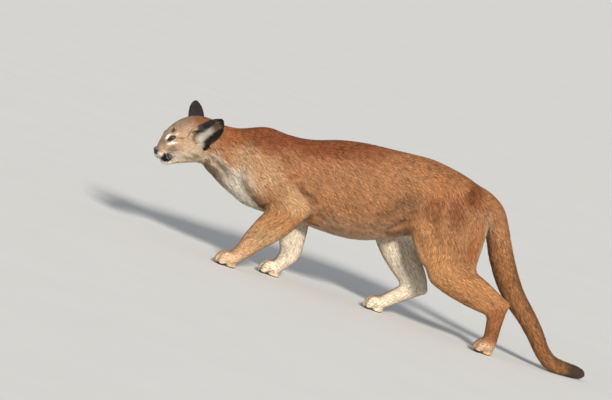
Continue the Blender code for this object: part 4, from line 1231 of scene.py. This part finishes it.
def eyes():
    """Amber eyes with a round pupil, a dark edge and a clear, domed front."""
    for name, s in (("eye_left", -1), ("eye_right", 1)):
        centre, out, up, ahead = eye_axes(s)
        turn = HEAD_TURN.to_3x3()
        axes = np.array([turn @ (out * s), turn @ up, turn @ ahead])
        local, points, faces = ball_arrays(np.array(HEAD @ centre), axes, EYE_RADIUS - 0.0002, 96, 64)
        off = np.linalg.norm(local[:, :2], axis=1)
        points += (local @ axes) * (0.0009 * step(0.62, 0.0, off) * (local[:, 2] > 0))[:, None]
        angle = np.arctan2(local[:, 1], local[:, 0])
        fibres = 0.5 + 0.5 * np.sin(angle * 24 + 2.0 * np.sin(angle * 5))
        colour = np.tile(np.array((0.105, 0.055, 0.018)), (len(points), 1)) * (0.75 + 0.5 * fibres)[:, None]
        colour = mixed(colour, (0.16, 0.100, 0.030), step(0.50, 0.32, off) * 0.6)
        colour = mixed(colour, (0.012, 0.008, 0.006), step(0.52, 0.66, off))
        colour = mixed(colour, (0.003, 0.003, 0.003), step(0.31, 0.26, off))
        colour[local[:, 2] < 0] = (0.03, 0.02, 0.018)
        piece = coloured(mesh_object("eyeball_" + name, points, faces), colour)
        made, nodes, links, shader, marks = principled("wet_eye_" + name, 0.10, 0.3, 0.0, 0.4)
        flecks = noise(nodes, links, 900.0, 2.0)
        links.new(tinted(nodes, links, marks, flecks, 0.85, 1.15), shader.inputs["Base Color"])
        piece.data.materials.append(made)
        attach(piece, "root")
        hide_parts(name)


def tube_arrays(path, radii, sides, closed=False):
    """A tube along a path, with a radius at each point. Open tubes have closed ends."""
    path = np.array(path, float)
    n = len(path)
    ahead = np.roll(path, -1, 0) - np.roll(path, 1, 0)
    if not closed:
        ahead[0], ahead[-1] = path[1] - path[0], path[-1] - path[-2]
    ahead = unit(ahead)
    guide = np.array((0.12, 0.35, 0.93))
    side = unit(np.cross(ahead, guide))
    deep = np.cross(ahead, side)
    turns = np.linspace(0, 2 * math.pi, sides, endpoint=False)
    radii = np.asarray(radii)[:, None, None]
    rings = path[:, None] + radii * (
        side[:, None] * np.cos(turns)[None, :, None] + deep[:, None] * np.sin(turns)[None, :, None]
    )
    faces = []
    for i in range(n if closed else n - 1):
        a, b = i * sides, ((i + 1) % n) * sides
        for k in range(sides):
            m = (k + 1) % sides
            faces += [(a + k, a + m, b + m), (a + k, b + m, b + k)]
    points = rings.reshape(-1, 3)
    if not closed:
        for ring, centre, turned in ((0, path[0], True), (n - 1, path[-1], False)):
            points = np.vstack([points, centre])
            for k in range(sides):
                a, b = ring * sides + k, ring * sides + (k + 1) % sides
                faces.append((len(points) - 1, b, a) if turned else (len(points) - 1, a, b))
    return points, np.array(faces)


def joined_pieces(name, made):
    """One object from several pairs of points and triangles."""
    points, faces, start = [], [], 0
    for p, f in made:
        points.append(p)
        faces.append(f + start)
        start += len(p)
    return mesh_object(name, np.concatenate(points), np.concatenate(faces))


def lid_rims():
    """The bare black edge of the lids, with the corner that runs down towards the nose."""
    made = []
    for s in (-1, 1):
        centre, out, up, ahead = (np.array(v) for v in eye_axes(s))
        outline = almond_edge(s, 72)
        reach = np.sqrt(np.maximum((EYE_RADIUS + 0.0004) ** 2 - (outline**2).sum(1), 0.000004))
        path = centre + outline[:, :1] * out + outline[:, 1:] * up + reach[:, None] * ahead
        path = np.array([HEAD @ Vector(p) for p in path])
        radii = 0.00085 + 0.0004 * np.abs(outline[:, 0]) / EYE_OPENING[0]
        made.append(tube_arrays(path, radii, 10, True))
    piece = joined_pieces("lid_rims", made)
    points, _ = arrays_of(piece.data)
    coloured(piece, np.tile(np.array((0.014, 0.011, 0.010)), (len(points), 1)))
    material, nodes, links, shader, marks = principled("wet_black_skin", 0.34, 0.5)
    grain = noise(nodes, links, 700.0, 2.0)
    links.new(tinted(nodes, links, marks, grain, 0.7, 1.3), shader.inputs["Base Color"])
    bumped(nodes, links, shader, grain.outputs["Fac"], 0.3, 0.0004)
    piece.data.materials.append(material)
    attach(piece, "root")


# Masses of the nose pad in the head's frame, on both sides where y isn't zero: centre and radii
NOSE_MASSES = (
    ((-0.1385, 0.0, -0.0345), (0.0125, 0.0170, 0.0085)),
    ((-0.1395, 0.0, -0.0450), (0.0125, 0.0090, 0.0100)),
    ((-0.1385, 0.0105, -0.0395), (0.0120, 0.0080, 0.0080)),
    ((-0.1400, 0.0045, -0.0350), (0.0128, 0.0080, 0.0070)),
)
NOSTRILS = (
    ((-0.1515, 0.0084, -0.0408), (0.0046, 0.0034, 0.0036), 0.0050),
    ((-0.1470, 0.0132, -0.0398), (0.0058, 0.0034, 0.0015), 0.0036),
)


def nose_pad():
    """The bare pad: broad on top, with comma-shaped nostrils and a groove down its front."""
    mesh = bmesh.new()
    for centre, radii in NOSE_MASSES:
        for s in (-1, 1) if centre[1] else (1,):
            place = HEAD @ Matrix.Translation(mirrored(centre, s)) @ Matrix.Diagonal((*radii, 1.0))
            bmesh.ops.create_uvsphere(mesh, u_segments=32, v_segments=20, radius=1.0, matrix=place)
    data = bpy.data.meshes.new("nose_form")
    mesh.to_mesh(data)
    mesh.free()
    form = bpy.data.objects.new("nose_form", data)
    bpy.context.scene.collection.objects.link(form)
    fuse = form.modifiers.new("fuse", "REMESH")
    fuse.mode = "VOXEL"
    fuse.voxel_size = 0.00065
    graph = bpy.context.evaluated_depsgraph_get()
    data = bpy.data.meshes.new_from_object(form.evaluated_get(graph))
    bpy.data.objects.remove(form)
    points, faces = arrays_of(data)
    bpy.data.meshes.remove(data)
    points = relaxed(points, edges_of(faces), 8)
    local = to_head(points)
    dark = np.zeros(len(points))
    for centre, radii, depth in NOSTRILS:
        q = np.stack([local[:, 0], np.abs(local[:, 1]), local[:, 2]], axis=1) - np.array(centre)
        inside = np.linalg.norm(q / np.array(radii), axis=1)
        local[:, 0] += depth * step(1.05, 0.55, inside)
        dark = np.maximum(dark, step(1.35, 0.9, inside))
    local[:, 0] += 0.0012 * np.exp(-((local[:, 1] / 0.0009) ** 2)) * step(-0.034, -0.040, local[:, 2])
    points = local @ HEAD_AXES.T + HEAD_SPOT
    colour = np.tile(np.array((0.030, 0.022, 0.021)), (len(points), 1))
    top = step(-0.0385, -0.0315, local[:, 2])
    colour = mixed(colour, (0.20, 0.125, 0.115), 0.85 * top)
    colour = mixed(colour, (0.006, 0.005, 0.005), dark)
    piece = coloured(mesh_object("nose_pad", points, faces), colour)
    material, nodes, links, shader, marks = principled("moist_nose", 0.36, 0.5, 0.0, 0.15)
    place = nodes.new("ShaderNodeTexCoord")
    cells = nodes.new("ShaderNodeTexVoronoi")
    cells.inputs["Scale"].default_value = 850.0
    links.new(place.outputs["Object"], cells.inputs["Vector"])
    grain = noise(nodes, links, 260.0, 3.0)
    links.new(tinted(nodes, links, marks, grain, 0.75, 1.25), shader.inputs["Base Color"])
    bumped(nodes, links, shader, cells.outputs["Distance"], 0.5, 0.0006)
    piece.data.materials.append(material)
    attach(piece, "root")
    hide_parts("nose")


def curved_hair(root, first, last, length, thick, count=9):
    """A tapered hair that leaves its root one way and bends towards another."""
    t = np.linspace(0, 1, count)[:, None]
    path = root + length * (first * (t - 0.5 * t**2) * 1.1 + last * 0.5 * t**2)
    radii = thick * (1 - 0.85 * t[:, 0])
    return tube_arrays(path, radii, 5)


def whiskers(tree):
    """Rows of stiff white whiskers on the lips, and a few over the eyes."""
    made = []
    turn = HEAD_AXES.T
    for s in (-1, 1):
        for r in range(4):
            for c in range(5 - (r % 2)):
                spot_ = (-0.130 + 0.0105 * c + 0.003 * r, s * 0.045, -0.043 - 0.0058 * r)
                place = np.array(HEAD @ Vector(spot_))
                root = np.array(tree.find_nearest(Vector(place))[0])
                first = unit(np.array((-0.25 + 0.14 * c, s * 1.0, 0.10 - 0.10 * r))) @ turn
                last = unit(np.array((0.75 + 0.06 * c, s * 0.65, -0.30 - 0.14 * r))) @ turn
                length = 0.050 + 0.007 * c + rng.uniform(-0.005, 0.005)
                made.append(curved_hair(root - first * 0.002, first, last, length, 0.00042))
        for c in range(3):
            place = np.array(HEAD @ Vector((-0.086 + 0.006 * c, s * 0.034, 0.032)))
            root = np.array(tree.find_nearest(Vector(place))[0])
            first = unit(np.array((-0.35, s * 0.35, 0.85))) @ turn
            last = unit(np.array((0.55 + 0.1 * c, s * 0.55, 0.60))) @ turn
            made.append(curved_hair(root - first * 0.002, first, last, 0.036 - 0.004 * c, 0.00030))
    piece = joined_pieces("whiskers", made)
    points, _ = arrays_of(piece.data)
    coloured(piece, np.tile(np.array((0.80, 0.77, 0.70)), (len(points), 1)))
    material, nodes, links, shader, marks = principled("whisker_white", 0.35, 0.5)
    grain = noise(nodes, links, 60.0, 2.0)
    links.new(tinted(nodes, links, marks, grain, 0.85, 1.08), shader.inputs["Base Color"])
    piece.data.materials.append(material)
    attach(piece, "root")


def claws():
    """The tips of sheathed claws, which just show before the fur of each toe."""
    made = []
    for centre, heading, scale in PAWS.values():
        ahead = Vector(heading).normalized()
        side = Vector((0, 0, 1)).cross(ahead).normalized()
        middle = Vector(centre) + SHIFT
        for place, reach in TOES:
            tip = middle + side * place * TOE_SPREAD * scale + ahead * reach * scale
            tip.z = 0.0150
            t = np.linspace(0, 1, 9)[:, None]
            ahead_row, up_row = np.array(ahead), np.array((0.0, 0.0, 1.0))
            path = np.array(tip) + ahead_row * (0.0040 + 0.0105 * t) + up_row * (0.0016 * t - 0.0088 * t**2)
            radii = 0.0019 * scale * (1 - t[:, 0]) ** 0.7 + 0.00012
            made.append(tube_arrays(path, radii, 10))
    piece = joined_pieces("claws", made)
    points, _ = arrays_of(piece.data)
    coloured(piece, np.tile(np.array((0.33, 0.27, 0.20)), (len(points), 1)))
    material, nodes, links, shader, marks = principled("claw_horn", 0.30, 0.5)
    grain = noise(nodes, links, 240.0, 3.0, (0.3, 1, 1))
    links.new(tinted(nodes, links, marks, grain, 0.6, 1.25), shader.inputs["Base Color"])
    piece.data.materials.append(material)
    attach(piece, "root")


# The photo's view: its slope is a roll of the camera, its size 612 by 400 pixels of PIXEL each at the cougar
PHOTO_ROLL = math.radians(19.0)
PHOTO_ELEVATION = math.radians(5.0)
PHOTO_WIDTH = 612
PIXEL = 0.0034
PHOTO_AIM = Vector((0.1369, 0.0, 0.2917))
DISTANCE = 14.0
SENSOR = 36.0


def camera():
    right = Vector((math.cos(PHOTO_ROLL), 0, math.sin(PHOTO_ROLL)))
    up = Vector((-math.sin(PHOTO_ROLL), 0, math.cos(PHOTO_ROLL)))
    look = Vector((0, 1, 0))
    ahead = look * math.cos(PHOTO_ELEVATION) - up * math.sin(PHOTO_ELEVATION)
    raised = up * math.cos(PHOTO_ELEVATION) + look * math.sin(PHOTO_ELEVATION)
    made = bpy.data.objects.new("camera", bpy.data.cameras.new("camera"))
    bpy.context.scene.collection.objects.link(made)
    turn = Matrix((right, raised, -ahead)).transposed().to_4x4()
    made.matrix_world = Matrix.Translation(PHOTO_AIM + SHIFT - ahead * DISTANCE) @ turn
    made.data.sensor_width = SENSOR
    made.data.lens = SENSOR * DISTANCE / (PHOTO_WIDTH * PIXEL)
    made.data.clip_end = 500.0
    bpy.context.scene.camera = made


# Lights: where each comes from, how wide it is in degrees, its strength and its colour
KEY_FROM = (0.20, -1.0, 0.46)
KEY_WIDE = 9.0
KEY_STRENGTH = 4.3
KEY_COLOUR = (1.0, 0.955, 0.89)
FILL_FROM = (-0.85, -0.60, 0.35)
FILL_WIDE = 50.0
FILL_STRENGTH = 0.30
FILL_COLOUR = (0.90, 0.94, 1.0)
SKY_COLOUR = (0.82, 0.87, 0.95)
SKY_STRENGTH = 0.40


def soft_light(name, origin, wide, strength, colour):
    """A far light whose rays come from a wide patch of the sky."""
    made = bpy.data.objects.new(name, bpy.data.lights.new(name, "SUN"))
    made.data.angle = math.radians(wide)
    made.data.energy = strength
    made.data.color = colour
    made.rotation_euler = (-Vector(origin)).to_track_quat("-Z", "Y").to_euler()
    bpy.context.scene.collection.objects.link(made)


FLOOR_SIZE = 400.0
FLOOR_COLOUR = (0.74, 0.73, 0.70)


def studio():
    """A pale floor, a soft key light from the camera's side and above, a little towards the tail, and a weak fill."""
    mesh = bmesh.new()
    bmesh.ops.create_grid(mesh, x_segments=8, y_segments=8, size=FLOOR_SIZE / 2)
    data = bpy.data.meshes.new("floor")
    mesh.to_mesh(data)
    mesh.free()
    floor = bpy.data.objects.new("floor", data)
    bpy.context.scene.collection.objects.link(floor)
    made = bpy.data.materials.new("pale_floor")
    made.use_nodes = True
    nodes, links = made.node_tree.nodes, made.node_tree.links
    shader = nodes["Principled BSDF"]
    shader.inputs["Roughness"].default_value = 0.9
    shader.inputs["Specular IOR Level"].default_value = 0.1
    grain = noise(nodes, links, 3.0, 4.0)
    ramp = nodes.new("ShaderNodeValToRGB")
    ramp.color_ramp.elements[0].color = (*(0.97 * c for c in FLOOR_COLOUR), 1.0)
    ramp.color_ramp.elements[1].color = (*(1.03 * c for c in FLOOR_COLOUR), 1.0)
    links.new(grain.outputs["Fac"], ramp.inputs["Fac"])
    links.new(ramp.outputs["Color"], shader.inputs["Base Color"])
    data.materials.append(made)
    soft_light("key", KEY_FROM, KEY_WIDE, KEY_STRENGTH, KEY_COLOUR)
    soft_light("fill", FILL_FROM, FILL_WIDE, FILL_STRENGTH, FILL_COLOUR)
    world = bpy.data.worlds.new("studio")
    world.use_nodes = True
    background = world.node_tree.nodes["Background"]
    background.inputs["Color"].default_value = (*SKY_COLOUR, 1.0)
    background.inputs["Strength"].default_value = SKY_STRENGTH
    bpy.context.scene.world = world
    bpy.context.scene.view_settings.view_transform = "Standard"


def main():
    camera()
    studio()
    points, faces, region = skin_arrays()
    normals = normals_of(points, faces)
    lie = lie_of(points, normals, region, faces)
    skin = mesh_object("skin", points, faces)
    coloured(skin, colours_of(points, normals, region))
    with_map(skin, skin_map(points, faces, region))
    skin.data.materials.append(skin_material())
    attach(skin, "root")
    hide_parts(*REGIONS)
    tree = grow_coat(points, faces, normals, region, lie)
    ear_hair(tree, bpy.data.materials["tufts"])
    eyes()
    lid_rims()
    nose_pad()
    whiskers(tree)
    claws()


main()
